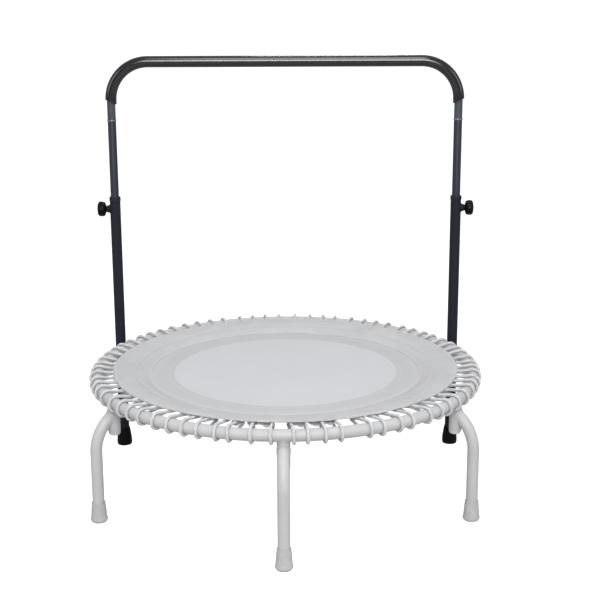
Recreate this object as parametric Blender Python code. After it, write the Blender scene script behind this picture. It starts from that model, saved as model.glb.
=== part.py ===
"""Mini trampoline with an adjustable handlebar.

Metres, +Z up. The origin is on the floor under the centre of the ring. The
handlebar stands at +Y, the user steps on from -Y.

The frame is one tube ring with six stations 60 degrees apart. Four arched legs
and the two handlebar posts are bolted under the ring, each through a stub whose
top is coped to the ring's tube. The jump mat hangs in the ring on eighteen laced
bungee cords, which turn round the webbing band on the mat's edge, and a soft
skirt sewn on the mat covers that band and the inner ends of the cords. The
U-shaped handlebar telescopes in the posts, where a screw knob presses a pad on
each tube.
"""

import math

import bmesh
import bpy
from mathutils import Matrix, Vector

# ---------------------------------------------------------------- dimensions
RING_R = 0.481          # centreline radius of the ring
TUBE_R = 0.0143         # 28.6 mm tube
RING_Z = 0.301          # height of the ring's centreline
GAP = 0.0003            # clearance left where pieces touch

LEG_AZ = {"front": -90.0, "left": -150.0, "right": -30.0, "back": 90.0}
POST_AZ = {"left": 150.0, "right": 30.0}

STATION_R = 0.476       # radius of the circle of bolts under the ring
STUB_R = 0.0150         # vertical stub of a leg, under the ring
STUB_BOTTOM_Z = 0.2230
BOLT_R = 0.0040
BOLT_HOLE_R = 0.0044
BOLT_TOP_Z = 0.3020
DOME_R = 0.0146
DOME_BOTTOM_Z = 0.2155

LEG_R = 0.5250          # radius of the circle on which the legs stand
LEG_BEND_Z = 0.178      # where the leg starts to bend inwards
LEG_BEND_R = 0.106
LEG_BEND_DEG = 44.0
LEG_BOTTOM_Z = 0.0108

FOOT_BASE_R = 0.0208
FOOT_TOP_R = 0.0166
FOOT_H = 0.050
FOOT_BORE_R = 0.0147
FOOT_FLOOR = 0.0104     # thickness of rubber under the tube

MAT_R = 0.385           # sewn edge of the mat
MAT_BOTTOM_Z = 0.2995
MAT_TOP_Z = 0.3025
BAND_GAP_R = 0.3853     # inner edge of the webbing band
BAND_R = 0.3925         # outer edge of the webbing band
TAB_TIP_R = 0.432
TAB_HALF_DEG = 1.55     # half the width of a tab where it leaves the band
CORDS = 18
WRAPS_PER_CORD = 4
WRAP_PITCH_DEG = 4.7    # between the wraps of one cord

SKIRT_SEAM_R = 0.345
SKIRT_KNEE_R = 0.380
SKIRT_EDGE_R = 0.437
SKIRT_SEAM_Z = 0.3029
SKIRT_KNEE_Z = 0.3106
SKIRT_EDGE_Z = 0.3180
SKIRT_T = 0.0024

CORD_R = 0.0034
CORD_WRAP_R = 0.0199    # from the ring's centreline to the cord's centreline
CORD_TURN_R = 0.3885
CORD_UPPER_Z = 0.3066
CORD_LOWER_Z = 0.2954

POST_R = 0.5350         # radius of the circle on which the posts stand
POST_TUBE_R = 0.0143
POST_BORE_R = 0.0128
POST_TOP_Z = 0.7000
POST_BOTTOM_Z = 0.0108
ARM_R = 0.0110
ARM_LOW_Z = 0.198
ARM_HIGH_Z = 0.254
POST_FOOT_BASE_R = 0.0212
POST_FOOT_TOP_R = 0.0160

COLLAR_TOP_Z = 0.7120
COLLAR_R = 0.0154
COLLAR_BORE_R = 0.01135
COLLAR_SLEEVE_R = 0.0124
COLLAR_SLEEVE_Z = 0.6870

CLAMP_Z = 0.6780        # height of the knobs' axes
BOSS_ROOT_R = 0.0112
BOSS_TIP_R = 0.0086
BOSS_REACH = 0.0235     # from the post's axis to the boss's outer face
BOSS_HOLE_R = 0.0047
PAD_R = 0.0043
SCREW_R = 0.0043
KNOB_R = 0.0205
KNOB_REACH = 0.0478     # from the post's axis to the knob's outer face

UPPER_R = 0.0111        # 22.2 mm tube
UPPER_BORE_R = 0.0095
UPPER_BOTTOM_Z = 0.420
UPPER_TOP_Z = 0.9155
JOINT_RING_R = 0.0123
BAR_SHOULDER_Z = 0.9205
BAR_SPIGOT_R = 0.0091
BAR_SPIGOT_Z = 0.868
BAR_TOP_Z = 1.072
BAR_BEND_R = 0.100
GRIP_R = 0.0150
GRIP_BORE_R = 0.0114
GRIP_END_Z = 0.968

SIDES = 12              # sides of plain tubes
FIT_SIDES = 16          # sides of the telescoping tubes, so that facets line up


# ------------------------------------------------------------------ materials
def material(name, colour, roughness, metallic=0.0):
    mat = bpy.data.materials.new(name)
    mat.use_nodes = True
    shader = mat.node_tree.nodes["Principled BSDF"]
    shader.inputs["Base Color"].default_value = (*colour, 1.0)
    shader.inputs["Roughness"].default_value = roughness
    shader.inputs["Metallic"].default_value = metallic
    mat.diffuse_color = (*colour, 1.0)
    return mat


# ------------------------------------------------------------------- builders
def polar(radius, azimuth_deg, z):
    a = math.radians(azimuth_deg)
    return Vector((radius * math.cos(a), radius * math.sin(a), z))


def finish(name, bm, mat, smooth_deg=40.0):
    bmesh.ops.recalc_face_normals(bm, faces=bm.faces)
    mesh = bpy.data.meshes.new(name)
    bm.to_mesh(mesh)
    bm.free()
    mesh.materials.append(mat)
    mesh.shade_smooth()
    mesh.set_sharp_from_angle(angle=math.radians(smooth_deg))
    obj = bpy.data.objects.new(name, mesh)
    bpy.context.scene.collection.objects.link(obj)
    return obj


def frames_along(points, closed=False):
    """One (side, up) pair per point, carried along the path without twist."""
    count = len(points)
    tangents = []
    for i in range(count):
        if closed:
            t = points[(i + 1) % count] - points[i - 1]
        else:
            t = points[min(i + 1, count - 1)] - points[max(i - 1, 0)]
            if 0 < i < count - 1:
                a = (points[i] - points[i - 1]).normalized()
                b = (points[i + 1] - points[i]).normalized()
                if (a + b).length > 1e-6:
                    t = a + b
        tangents.append(t.normalized())
    start = Vector((0, 0, 1)) if abs(tangents[0].z) < 0.9 else Vector((0, 1, 0))
    up = (start - start.dot(tangents[0]) * tangents[0]).normalized()
    pairs = []
    for i, t in enumerate(tangents):
        if i:
            up = (up - up.dot(t) * t).normalized()
        pairs.append((t.cross(up).normalized(), up.copy()))
    return pairs


def sweep(points, radii, sides, bores=None, phase=0.0):
    """A tube along the points. radii is one radius or one per point; bores, the same for a hole through it."""
    points = [Vector(p) for p in points]
    n = len(points)
    radii = [radii] * n if isinstance(radii, float) else radii
    pairs = frames_along(points)
    bm = bmesh.new()

    def rings(values):
        made = []
        for p, (side, up), r in zip(points, pairs, values):
            made.append([
                bm.verts.new(p + r * (math.cos(a) * up + math.sin(a) * side))
                for a in (phase + 2 * math.pi * k / sides for k in range(sides))
            ])
        return made

    outer = rings(radii)
    for a, b in zip(outer, outer[1:]):
        for k in range(sides):
            j = (k + 1) % sides
            bm.faces.new((a[k], a[j], b[j], b[k]))
    if bores is None:
        bm.faces.new(outer[0])
        bm.faces.new(list(reversed(outer[-1])))
    else:
        bores = [bores] * n if isinstance(bores, float) else bores
        inner = rings(bores)
        for a, b in zip(inner, inner[1:]):
            for k in range(sides):
                j = (k + 1) % sides
                bm.faces.new((a[k], b[k], b[j], a[j]))
        for k in range(sides):
            j = (k + 1) % sides
            bm.faces.new((outer[0][k], inner[0][k], inner[0][j], outer[0][j]))
            bm.faces.new((outer[-1][k], outer[-1][j], inner[-1][j], inner[-1][k]))
    return bm


def turned(profile, segments, closed_profile=False):
    """Turns (radius, height) points round Z. A radius of 0 is one point on the axis."""
    bm = bmesh.new()
    rings = []
    for r, z in profile:
        if r < 1e-9:
            rings.append([bm.verts.new((0, 0, z))])
        else:
            rings.append([
                bm.verts.new((r * math.cos(a), r * math.sin(a), z))
                for a in (2 * math.pi * k / segments for k in range(segments))
            ])
    pairs = list(zip(rings, rings[1:]))
    if closed_profile:
        pairs.append((rings[-1], rings[0]))
    for a, b in pairs:
        for k in range(segments):
            j = (k + 1) % segments
            if len(a) == 1 and len(b) == 1:
                continue
            if len(a) == 1:
                bm.faces.new((a[0], b[k], b[j]))
            elif len(b) == 1:
                bm.faces.new((a[k], b[0], a[j]))
            else:
                bm.faces.new((a[k], b[k], b[j], a[j]))
    return bm


def place(bm, matrix):
    bmesh.ops.transform(bm, matrix=matrix, verts=bm.verts)
    return bm


def along_x(sign, origin):
    """Takes a shape turned round Z to one along X (sign +1) or -X (sign -1), at origin."""
    return Matrix.Translation(origin) @ Matrix.Rotation(sign * math.pi / 2, 4, "Y")


def combine(target, other, operation):
    """Joins or cuts target with other, which is then removed."""
    mod = target.modifiers.new("join", "BOOLEAN")
    mod.operation = operation
    mod.object = other
    mod.solver = "EXACT"
    graph = bpy.context.evaluated_depsgraph_get()
    graph.update()
    mesh = bpy.data.meshes.new_from_object(target.evaluated_get(graph))
    target.modifiers.clear()
    old = target.data
    target.data = mesh
    bpy.data.meshes.remove(old)
    gone = other.data
    bpy.data.objects.remove(other)
    bpy.data.meshes.remove(gone)
    mesh.name = target.name
    mesh.shade_smooth()
    mesh.set_sharp_from_angle(angle=math.radians(40))
    return target


def rod(name, start, end, radius, sides, mat):
    return finish(name, sweep([start, end], radius, sides), mat)


# --------------------------------------------------------------------- pieces
def frame_ring(mat):
    """The ring, with a blind hole for a bolt at each station."""
    bm = bmesh.new()
    segments, sides = 72, 12
    rings = []
    for i in range(segments):
        a = 2 * math.pi * (i + 0.37) / segments
        ring = []
        for k in range(sides):
            b = 2 * math.pi * (k + 0.5) / sides
            r = RING_R + TUBE_R * math.cos(b)
            ring.append(bm.verts.new((r * math.cos(a), r * math.sin(a), RING_Z + TUBE_R * math.sin(b))))
        rings.append(ring)
    for i in range(segments):
        a, b = rings[i], rings[(i + 1) % segments]
        for k in range(sides):
            j = (k + 1) % sides
            bm.faces.new((a[k], b[k], b[j], a[j]))
    ring = finish("frame_ring", bm, mat)
    for azimuth in [*LEG_AZ.values(), *POST_AZ.values()]:
        hole = rod("hole", polar(STATION_R, azimuth, RING_Z - 0.03), polar(STATION_R, azimuth, BOLT_TOP_Z + 0.0010), BOLT_HOLE_R, 8, mat)
        combine(ring, hole, "DIFFERENCE")
    return ring


def leg_path(bottom_z):
    """(radius, height) points of a leg's centreline, from the floor to the stub's axis."""
    path = [(LEG_R, bottom_z), (LEG_R, LEG_BEND_Z)]
    steps = 5
    for i in range(1, steps + 1):
        a = math.radians(LEG_BEND_DEG) * i / steps
        path.append((LEG_R - LEG_BEND_R * (1 - math.cos(a)), LEG_BEND_Z + LEG_BEND_R * math.sin(a)))
    r, z = path[-1]
    reach = r - STATION_R
    path.append((STATION_R, z + reach / math.tan(math.radians(LEG_BEND_DEG))))
    return path


def cope(obj, azimuth, mat):
    """Cuts a stub's top to the shape of the ring above it."""
    a = math.radians(azimuth)
    tangent = Vector((-math.sin(a), math.cos(a), 0))
    centre = polar(RING_R, azimuth, RING_Z)
    cutter = rod("cope", centre - 0.04 * tangent, centre + 0.04 * tangent, TUBE_R + 0.0009, 16, mat)
    combine(obj, cutter, "DIFFERENCE")


def stub(azimuth, mat):
    return rod("stub", polar(STATION_R, azimuth, STUB_BOTTOM_Z), polar(STATION_R, azimuth, RING_Z - 0.004), STUB_R, SIDES, mat)


def drill(obj, azimuth, mat):
    cutter = rod("drill", polar(STATION_R, azimuth, STUB_BOTTOM_Z - 0.02), polar(STATION_R, azimuth, RING_Z + 0.02), BOLT_HOLE_R, 8, mat)
    combine(obj, cutter, "DIFFERENCE")


def leg(name, azimuth, mat):
    path = [polar(r, azimuth, z) for r, z in leg_path(LEG_BOTTOM_Z)]
    obj = finish(name, sweep(path, TUBE_R, SIDES), mat)
    combine(obj, stub(azimuth, mat), "UNION")
    cope(obj, azimuth, mat)
    drill(obj, azimuth, mat)
    return obj


def domed_bolt(name, azimuth, mat):
    head_z = STUB_BOTTOM_Z - GAP
    profile = [
        (0.0, BOLT_TOP_Z), (BOLT_R, BOLT_TOP_Z), (BOLT_R, head_z), (DOME_R, head_z),
        (DOME_R, head_z - 0.0022), (DOME_R * 0.90, DOME_BOTTOM_Z + 0.0024),
        (DOME_R * 0.62, DOME_BOTTOM_Z + 0.0006), (0.0, DOME_BOTTOM_Z),
    ]
    return finish(name, place(turned(profile, SIDES), Matrix.Translation(polar(STATION_R, azimuth, 0))), mat)


def rubber_foot(name, radius, azimuth, base_r, top_r, mat):
    profile = [
        (0.0, 0.0), (base_r - 0.003, 0.0), (base_r, 0.003), (base_r - 0.0006, 0.016),
        (top_r + 0.0006, FOOT_H - 0.010), (top_r, FOOT_H),
        (FOOT_BORE_R, FOOT_H), (FOOT_BORE_R, FOOT_FLOOR), (0.0, FOOT_FLOOR),
    ]
    bm = turned(profile, 16)
    return finish(name, place(bm, Matrix.Translation(polar(radius, azimuth, 0))), mat)


def jump_mat(mat):
    profile = [(0.0, MAT_BOTTOM_Z), (MAT_R, MAT_BOTTOM_Z), (MAT_R, MAT_TOP_Z), (0.0, MAT_TOP_Z)]
    return finish("jump_mat", turned(profile, 54), mat)


def wrap_azimuths(index):
    """The wraps of one cord. Between one cord and the next the step is wider, and every station lies in such a step."""
    middle = 360.0 / CORDS * index
    return [middle + WRAP_PITCH_DEG * (i - (WRAPS_PER_CORD - 1) / 2) for i in range(WRAPS_PER_CORD)]


def webbing_band(mat):
    """A flat band round the mat's edge, with a triangular tab between one wrap and the next of each cord."""
    outline = []
    for index in range(CORDS):
        wraps = wrap_azimuths(index)
        for a, b in zip(wraps, wraps[1:]):
            c = (a + b) / 2
            outline += [(BAND_R, c - TAB_HALF_DEG), (TAB_TIP_R, c - 0.32), (TAB_TIP_R, c + 0.32), (BAND_R, c + TAB_HALF_DEG)]
    bm = bmesh.new()
    columns = []
    for i, (r, a) in enumerate(outline):
        made = [bm.verts.new(polar(r, a, z)) for z in (MAT_BOTTOM_Z, MAT_TOP_Z)]
        if r == BAND_R:
            made += [bm.verts.new(polar(BAND_GAP_R, a, z)) for z in (MAT_BOTTOM_Z, MAT_TOP_Z)]
        columns.append(made)
    n = len(outline)
    for i in range(n):
        a, b = columns[i], columns[(i + 1) % n]
        bm.faces.new((a[0], b[0], b[1], a[1]))
    roots = [c for c in columns if len(c) == 4]
    for a, b in zip(roots, roots[1:] + roots[:1]):
        bm.faces.new((a[2], a[3], b[3], b[2]))
        bm.faces.new((a[0], a[2], b[2], b[0]))
        bm.faces.new((a[1], b[1], b[3], a[3]))
    for i in range(0, n, 4):
        c = columns[i:i + 4]
        bm.faces.new((c[0][0], c[3][0], c[2][0], c[1][0]))
        bm.faces.new((c[0][1], c[1][1], c[2][1], c[3][1]))
    return finish("webbing_band", bm, mat)


def edge_skirt(mat):
    profile = [
        (SKIRT_SEAM_R, SKIRT_SEAM_Z), (SKIRT_KNEE_R, SKIRT_KNEE_Z), (SKIRT_EDGE_R, SKIRT_EDGE_Z),
        (SKIRT_EDGE_R, SKIRT_EDGE_Z + SKIRT_T), (SKIRT_KNEE_R, SKIRT_KNEE_Z + SKIRT_T), (SKIRT_SEAM_R, SKIRT_SEAM_Z + SKIRT_T * 0.6),
    ]
    return finish("edge_skirt", turned(profile, 54, closed_profile=True), mat)


def wrap_points(azimuth, outwards):
    """One turn of cord over the top of the ring and back under it."""
    first, last, count = -12.0, 190.0, 5
    angles = [first + (last - first) * i / (count - 1) for i in range(count)]
    points = []
    for deg in angles if outwards else reversed(angles):
        t = math.radians(deg)
        points.append(polar(RING_R + CORD_WRAP_R * math.sin(t), azimuth, RING_Z + CORD_WRAP_R * math.cos(t)))
    return points


def cord(index, mat):
    """A bungee that runs four times from the mat round the ring and back."""
    wraps = wrap_azimuths(index)
    corner = 0.55
    points = [polar(CORD_TURN_R, wraps[0] - 1.3, CORD_UPPER_Z), polar(CORD_TURN_R + 0.001, wraps[0] - corner, CORD_UPPER_Z)]
    for i, azimuth in enumerate(wraps):
        outwards = i % 2 == 0
        points += wrap_points(azimuth, outwards)
        z = CORD_LOWER_Z if outwards else CORD_UPPER_Z
        if i < len(wraps) - 1:
            points.append(polar(CORD_TURN_R + 0.001, azimuth + corner, z))
            points.append(polar(CORD_TURN_R + 0.001, wraps[i + 1] - corner, z))
        else:
            points.append(polar(CORD_TURN_R + 0.001, azimuth + corner, z))
            points.append(polar(CORD_TURN_R, azimuth + 1.3, z))
    return finish(f"bungee_cord_{index + 1:02d}", sweep(points, CORD_R, 5), mat, 60.0)


def post(name, azimuth, side, mat):
    """A straight tube with a side arm and a stub under the ring, and a threaded boss for the clamp."""
    foot = polar(POST_R, azimuth, POST_BOTTOM_Z)
    head = polar(POST_R, azimuth, POST_TOP_Z)
    obj = finish(name, sweep([foot, head], POST_TUBE_R, FIT_SIDES), mat)
    arm = rod("arm", polar(POST_R - 0.004, azimuth, ARM_LOW_Z), polar(STATION_R, azimuth, ARM_HIGH_Z), ARM_R, SIDES, mat)
    combine(obj, arm, "UNION")
    combine(obj, stub(azimuth, mat), "UNION")
    axis = Vector((head.x, head.y, CLAMP_Z))
    boss = finish("boss", place(turned([
        (0.0, 0.004), (BOSS_ROOT_R, 0.004), (BOSS_ROOT_R, POST_TUBE_R + 0.0008), (BOSS_TIP_R, BOSS_REACH), (0.0, BOSS_REACH),
    ], SIDES), along_x(side, axis)), mat)
    combine(obj, boss, "UNION")
    cope(obj, azimuth, mat)
    drill(obj, azimuth, mat)
    bore = finish("bore", sweep([foot - Vector((0, 0, 0.02)), head + Vector((0, 0, 0.02))], POST_BORE_R, FIT_SIDES), mat)
    combine(obj, bore, "DIFFERENCE")
    hole = finish("hole", sweep([axis + Vector((side * 0.006, 0, 0)), axis + Vector((side * 0.05, 0, 0))], BOSS_HOLE_R, SIDES), mat)
    combine(obj, hole, "DIFFERENCE")
    return obj


def collar(name, azimuth, mat):
    z = POST_TOP_Z + GAP
    profile = [
        (COLLAR_BORE_R, COLLAR_SLEEVE_Z), (COLLAR_SLEEVE_R, COLLAR_SLEEVE_Z), (COLLAR_SLEEVE_R, z),
        (COLLAR_R, z), (COLLAR_R, COLLAR_TOP_Z - 0.003), (COLLAR_R - 0.0022, COLLAR_TOP_Z), (COLLAR_BORE_R, COLLAR_TOP_Z),
    ]
    return finish(name, place(turned(profile, FIT_SIDES, closed_profile=True), Matrix.Translation(polar(POST_R, azimuth, 0))), mat)


def clamp_pieces(label, azimuth, side, pad_mat, screw_mat, knob_mat):
    axis = polar(POST_R, azimuth, CLAMP_Z)
    at = along_x(side, axis)
    pad = finish(f"clamp_pad_{label}", place(turned([
        (0.0, 0.0115), (PAD_R - 0.0006, 0.0115), (PAD_R, 0.0121), (PAD_R, 0.0147), (0.0, 0.0147)], 12), at), pad_mat)
    screw = finish(f"clamp_screw_{label}", place(turned([
        (0.0, 0.0150), (SCREW_R - 0.0006, 0.0150), (SCREW_R, 0.0156), (SCREW_R, 0.0352), (0.0, 0.0352)], 12), at), screw_mat)
    knob = finish(f"clamp_knob_{label}", place(knob_shape(), at), knob_mat)
    return pad, screw, knob


def knob_shape():
    """A mushroom knob with eight shallow finger flutes and a blind hole for its stud."""
    segments = 24
    profile = [
        (0.0051, 0.0242), (0.0080, 0.0242), (0.0100, 0.0268), (0.0150, 0.0285), (0.0192, 0.0310),
        (KNOB_R, 0.0350), (KNOB_R, 0.0420), (0.0190, 0.0455), (0.0150, 0.0472), (0.0, KNOB_REACH),
    ]
    inner = [(0.0, 0.0355), (0.0051, 0.0355)]
    bm = turned([*inner, *profile], segments)
    for v in bm.verts:
        r = math.hypot(v.co.x, v.co.y)
        if r > 0.017:
            k = 1.0 - 0.035 * (1 - math.cos(8 * math.atan2(v.co.y, v.co.x))) / 2
            v.co.x *= k
            v.co.y *= k
    return bm


def upper_tube(name, azimuth, mat):
    return finish(name, sweep([polar(POST_R, azimuth, UPPER_BOTTOM_Z), polar(POST_R, azimuth, UPPER_TOP_Z)], UPPER_R, FIT_SIDES, UPPER_BORE_R), mat)


def joint_ring(name, azimuth, mat):
    low, high = UPPER_TOP_Z + GAP, BAR_SHOULDER_Z - GAP
    profile = [(UPPER_BORE_R, low), (JOINT_RING_R, low), (JOINT_RING_R, high), (UPPER_BORE_R, high)]
    return finish(name, place(turned(profile, FIT_SIDES, closed_profile=True), Matrix.Translation(polar(POST_R, azimuth, 0))), mat)


def bar_path(low_z, steps=6):
    """The U of the handlebar, from its left end over the top to its right end."""
    left, right = polar(POST_R, POST_AZ["left"], 0), polar(POST_R, POST_AZ["right"], 0)
    path = [Vector((left.x, left.y, low_z))]
    for i in range(steps + 1):
        a = math.pi / 2 * i / steps
        path.append(Vector((left.x + BAR_BEND_R * (1 - math.cos(a)), left.y, BAR_TOP_Z - BAR_BEND_R * (1 - math.sin(a)))))
    for i in range(steps + 1):
        a = math.pi / 2 * (1 - i / steps)
        path.append(Vector((right.x - BAR_BEND_R * (1 - math.cos(a)), right.y, BAR_TOP_Z - BAR_BEND_R * (1 - math.sin(a)))))
    path.append(Vector((right.x, right.y, low_z)))
    return path


def handle_bar(mat):
    path = bar_path(BAR_SHOULDER_Z)
    left, right = path[0], path[-1]
    step = Vector((0, 0, 0.0001))
    low = Vector((0, 0, BAR_SHOULDER_Z - BAR_SPIGOT_Z))
    points = [left - low, left - step, *path, right - step, right - low]
    radii = [BAR_SPIGOT_R, BAR_SPIGOT_R, *[UPPER_R] * len(path), BAR_SPIGOT_R, BAR_SPIGOT_R]
    return finish("handle_bar", sweep(points, radii, SIDES), mat)


def foam_grip(mat):
    return finish("foam_grip", sweep(bar_path(GRIP_END_Z), GRIP_R, SIDES, GRIP_BORE_R), mat)


# --------------------------------------------------------------------- build
def main():
    for obj in list(bpy.data.objects):
        bpy.data.objects.remove(obj, do_unlink=True)

    steel = material("powder_coat_grey", (0.50, 0.51, 0.52), 0.35, 0.2)
    rubber_grey = material("rubber_grey", (0.50, 0.50, 0.51), 0.65)
    woven = material("mat_fabric", (0.62, 0.62, 0.64), 0.75)
    webbing = material("webbing", (0.34, 0.35, 0.36), 0.80)
    skirt = material("skirt_fabric", (0.54, 0.54, 0.56), 0.70)
    bungee = material("bungee_sheath", (0.48, 0.48, 0.50), 0.80)
    black = material("powder_coat_black", (0.030, 0.030, 0.038), 0.40, 0.2)
    slate = material("tube_slate", (0.055, 0.065, 0.080), 0.35, 0.4)
    plastic = material("black_plastic", (0.015, 0.015, 0.018), 0.45)
    rubber_black = material("rubber_black", (0.012, 0.012, 0.013), 0.60)
    foam = material("foam_black", (0.018, 0.018, 0.020), 0.75)
    zinc = material("zinc_steel", (0.70, 0.70, 0.72), 0.30, 1.0)
    brass = material("pad_brass", (0.72, 0.55, 0.28), 0.35, 1.0)

    frame_ring(steel)
    for label, azimuth in LEG_AZ.items():
        leg(f"leg_{label}", azimuth, steel)
        rubber_foot(f"leg_foot_{label}", LEG_R, azimuth, FOOT_BASE_R, FOOT_TOP_R, rubber_grey)
        domed_bolt(f"leg_bolt_{label}", azimuth, steel)
    jump_mat(woven)
    webbing_band(webbing)
    edge_skirt(skirt)
    for index in range(CORDS):
        cord(index, bungee)
    for label, azimuth in POST_AZ.items():
        side = -1 if label == "left" else 1
        post(f"post_{label}", azimuth, side, black)
        rubber_foot(f"post_foot_{label}", POST_R, azimuth, POST_FOOT_BASE_R, POST_FOOT_TOP_R, rubber_black)
        domed_bolt(f"post_bolt_{label}", azimuth, steel)
        collar(f"post_collar_{label}", azimuth, plastic)
        pieces = clamp_pieces(label, azimuth, side, brass, zinc, plastic)
        upper = upper_tube(f"upper_tube_{label}", azimuth, slate)
        ring = joint_ring(f"joint_ring_{label}", azimuth, zinc)
        # the screw and its knob turn about the clamp's axis, the pad only slides on it
        hub = bpy.data.objects.new(f"clamp_axis_{label}", None)
        hub.location = polar(POST_R, azimuth, CLAMP_Z)
        bpy.context.scene.collection.objects.link(hub)
        bpy.context.view_layer.update()
        for piece in pieces:
            piece.parent = hub
            piece.matrix_parent_inverse = hub.matrix_world.inverted()
    handle_bar(slate)
    foam_grip(foam)


main()
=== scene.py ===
"""Looks of the mini trampoline with its adjustable handlebar.

Metres, +Z up, the same frame as the CAD: the origin is on the floor under the
centre of the ring, the handlebar stands at +Y and the user steps on from -Y.
"""

import math

import bmesh
import bpy
import numpy as np
from mathutils import Matrix, Vector, noise


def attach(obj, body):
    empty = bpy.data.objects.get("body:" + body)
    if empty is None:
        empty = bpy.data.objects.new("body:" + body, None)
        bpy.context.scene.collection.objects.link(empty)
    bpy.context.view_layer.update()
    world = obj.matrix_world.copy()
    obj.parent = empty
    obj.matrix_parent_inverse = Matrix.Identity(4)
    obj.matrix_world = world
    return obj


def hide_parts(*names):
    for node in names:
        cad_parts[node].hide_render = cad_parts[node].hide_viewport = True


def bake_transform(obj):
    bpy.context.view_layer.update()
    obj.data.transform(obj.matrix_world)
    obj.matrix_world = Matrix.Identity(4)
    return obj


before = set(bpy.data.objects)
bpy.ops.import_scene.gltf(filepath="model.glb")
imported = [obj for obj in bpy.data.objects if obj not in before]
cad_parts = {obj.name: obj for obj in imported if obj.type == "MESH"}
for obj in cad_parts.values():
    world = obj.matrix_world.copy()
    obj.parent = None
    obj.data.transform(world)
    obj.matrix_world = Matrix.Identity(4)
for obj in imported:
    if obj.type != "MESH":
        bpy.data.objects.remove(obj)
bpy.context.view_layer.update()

# ---------------------------------------------------------------- dimensions
RING_R, TUBE_R, RING_Z = 0.481, 0.0143, 0.301
LEG_AZ = {"front": -90.0, "left": -150.0, "right": -30.0, "back": 90.0}
POST_AZ = {"left": 150.0, "right": 30.0}
STATION_R, STUB_R, STUB_BOTTOM_Z = 0.476, 0.0150, 0.2230
BOLT_R, BOLT_TOP_Z, DOME_R, DOME_BOTTOM_Z = 0.0040, 0.3020, 0.0146, 0.2155
LEG_R, LEG_BEND_Z, LEG_BEND_R, LEG_BEND_DEG, LEG_BOTTOM_Z = 0.5250, 0.178, 0.106, 44.0, 0.0108
FOOT_BASE_R, FOOT_TOP_R, FOOT_H, FOOT_BORE_R, FOOT_FLOOR = 0.0208, 0.0166, 0.050, 0.0147, 0.0104
MAT_R, MAT_BOTTOM_Z, MAT_TOP_Z, PRINT_R = 0.385, 0.2995, 0.3025, 0.2865
BAND_GAP_R, BAND_R, TAB_TIP_R = 0.3853, 0.3925, 0.432
CORDS, WRAPS_PER_CORD, WRAP_PITCH_DEG = 18, 4, 4.7
SKIRT_SEAM_R, SKIRT_KNEE_R, SKIRT_EDGE_R = 0.345, 0.380, 0.437
SKIRT_SEAM_Z, SKIRT_KNEE_Z, SKIRT_EDGE_Z, SKIRT_T = 0.3029, 0.3106, 0.3180, 0.0024
CORD_R, CORD_WRAP_R, CORD_TURN_R, CORD_UPPER_Z, CORD_LOWER_Z = 0.0038, 0.0182, 0.3885, 0.3066, 0.2954
POST_R, POST_TUBE_R, POST_BORE_R, POST_TOP_Z, POST_BOTTOM_Z = 0.5350, 0.0143, 0.0128, 0.7000, 0.0108
ARM_R, ARM_LOW_Z, ARM_HIGH_Z = 0.0110, 0.198, 0.254
POST_FOOT_BASE_R, POST_FOOT_TOP_R = 0.0212, 0.0160
COLLAR_TOP_Z, COLLAR_R, COLLAR_BORE_R, COLLAR_SLEEVE_R, COLLAR_SLEEVE_Z = 0.7120, 0.0154, 0.01135, 0.0124, 0.6870
CLAMP_Z, BOSS_ROOT_R, BOSS_TIP_R, BOSS_REACH, BOSS_HOLE_R = 0.6780, 0.0112, 0.0086, 0.0235, 0.0047
KNOB_R, KNOB_REACH = 0.0205, 0.0478
UPPER_R, UPPER_BORE_R, UPPER_BOTTOM_Z, UPPER_TOP_Z = 0.0111, 0.0095, 0.420, 0.9155
JOINT_RING_R, BAR_SHOULDER_Z, BAR_SPIGOT_R, BAR_SPIGOT_Z = 0.0123, 0.9205, 0.0091, 0.868
BAR_TOP_Z, BAR_BEND_R, GRIP_R, GRIP_BORE_R, GRIP_END_Z = 1.072, 0.100, 0.0150, 0.0114, 0.968
GAP = 0.0003


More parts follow.
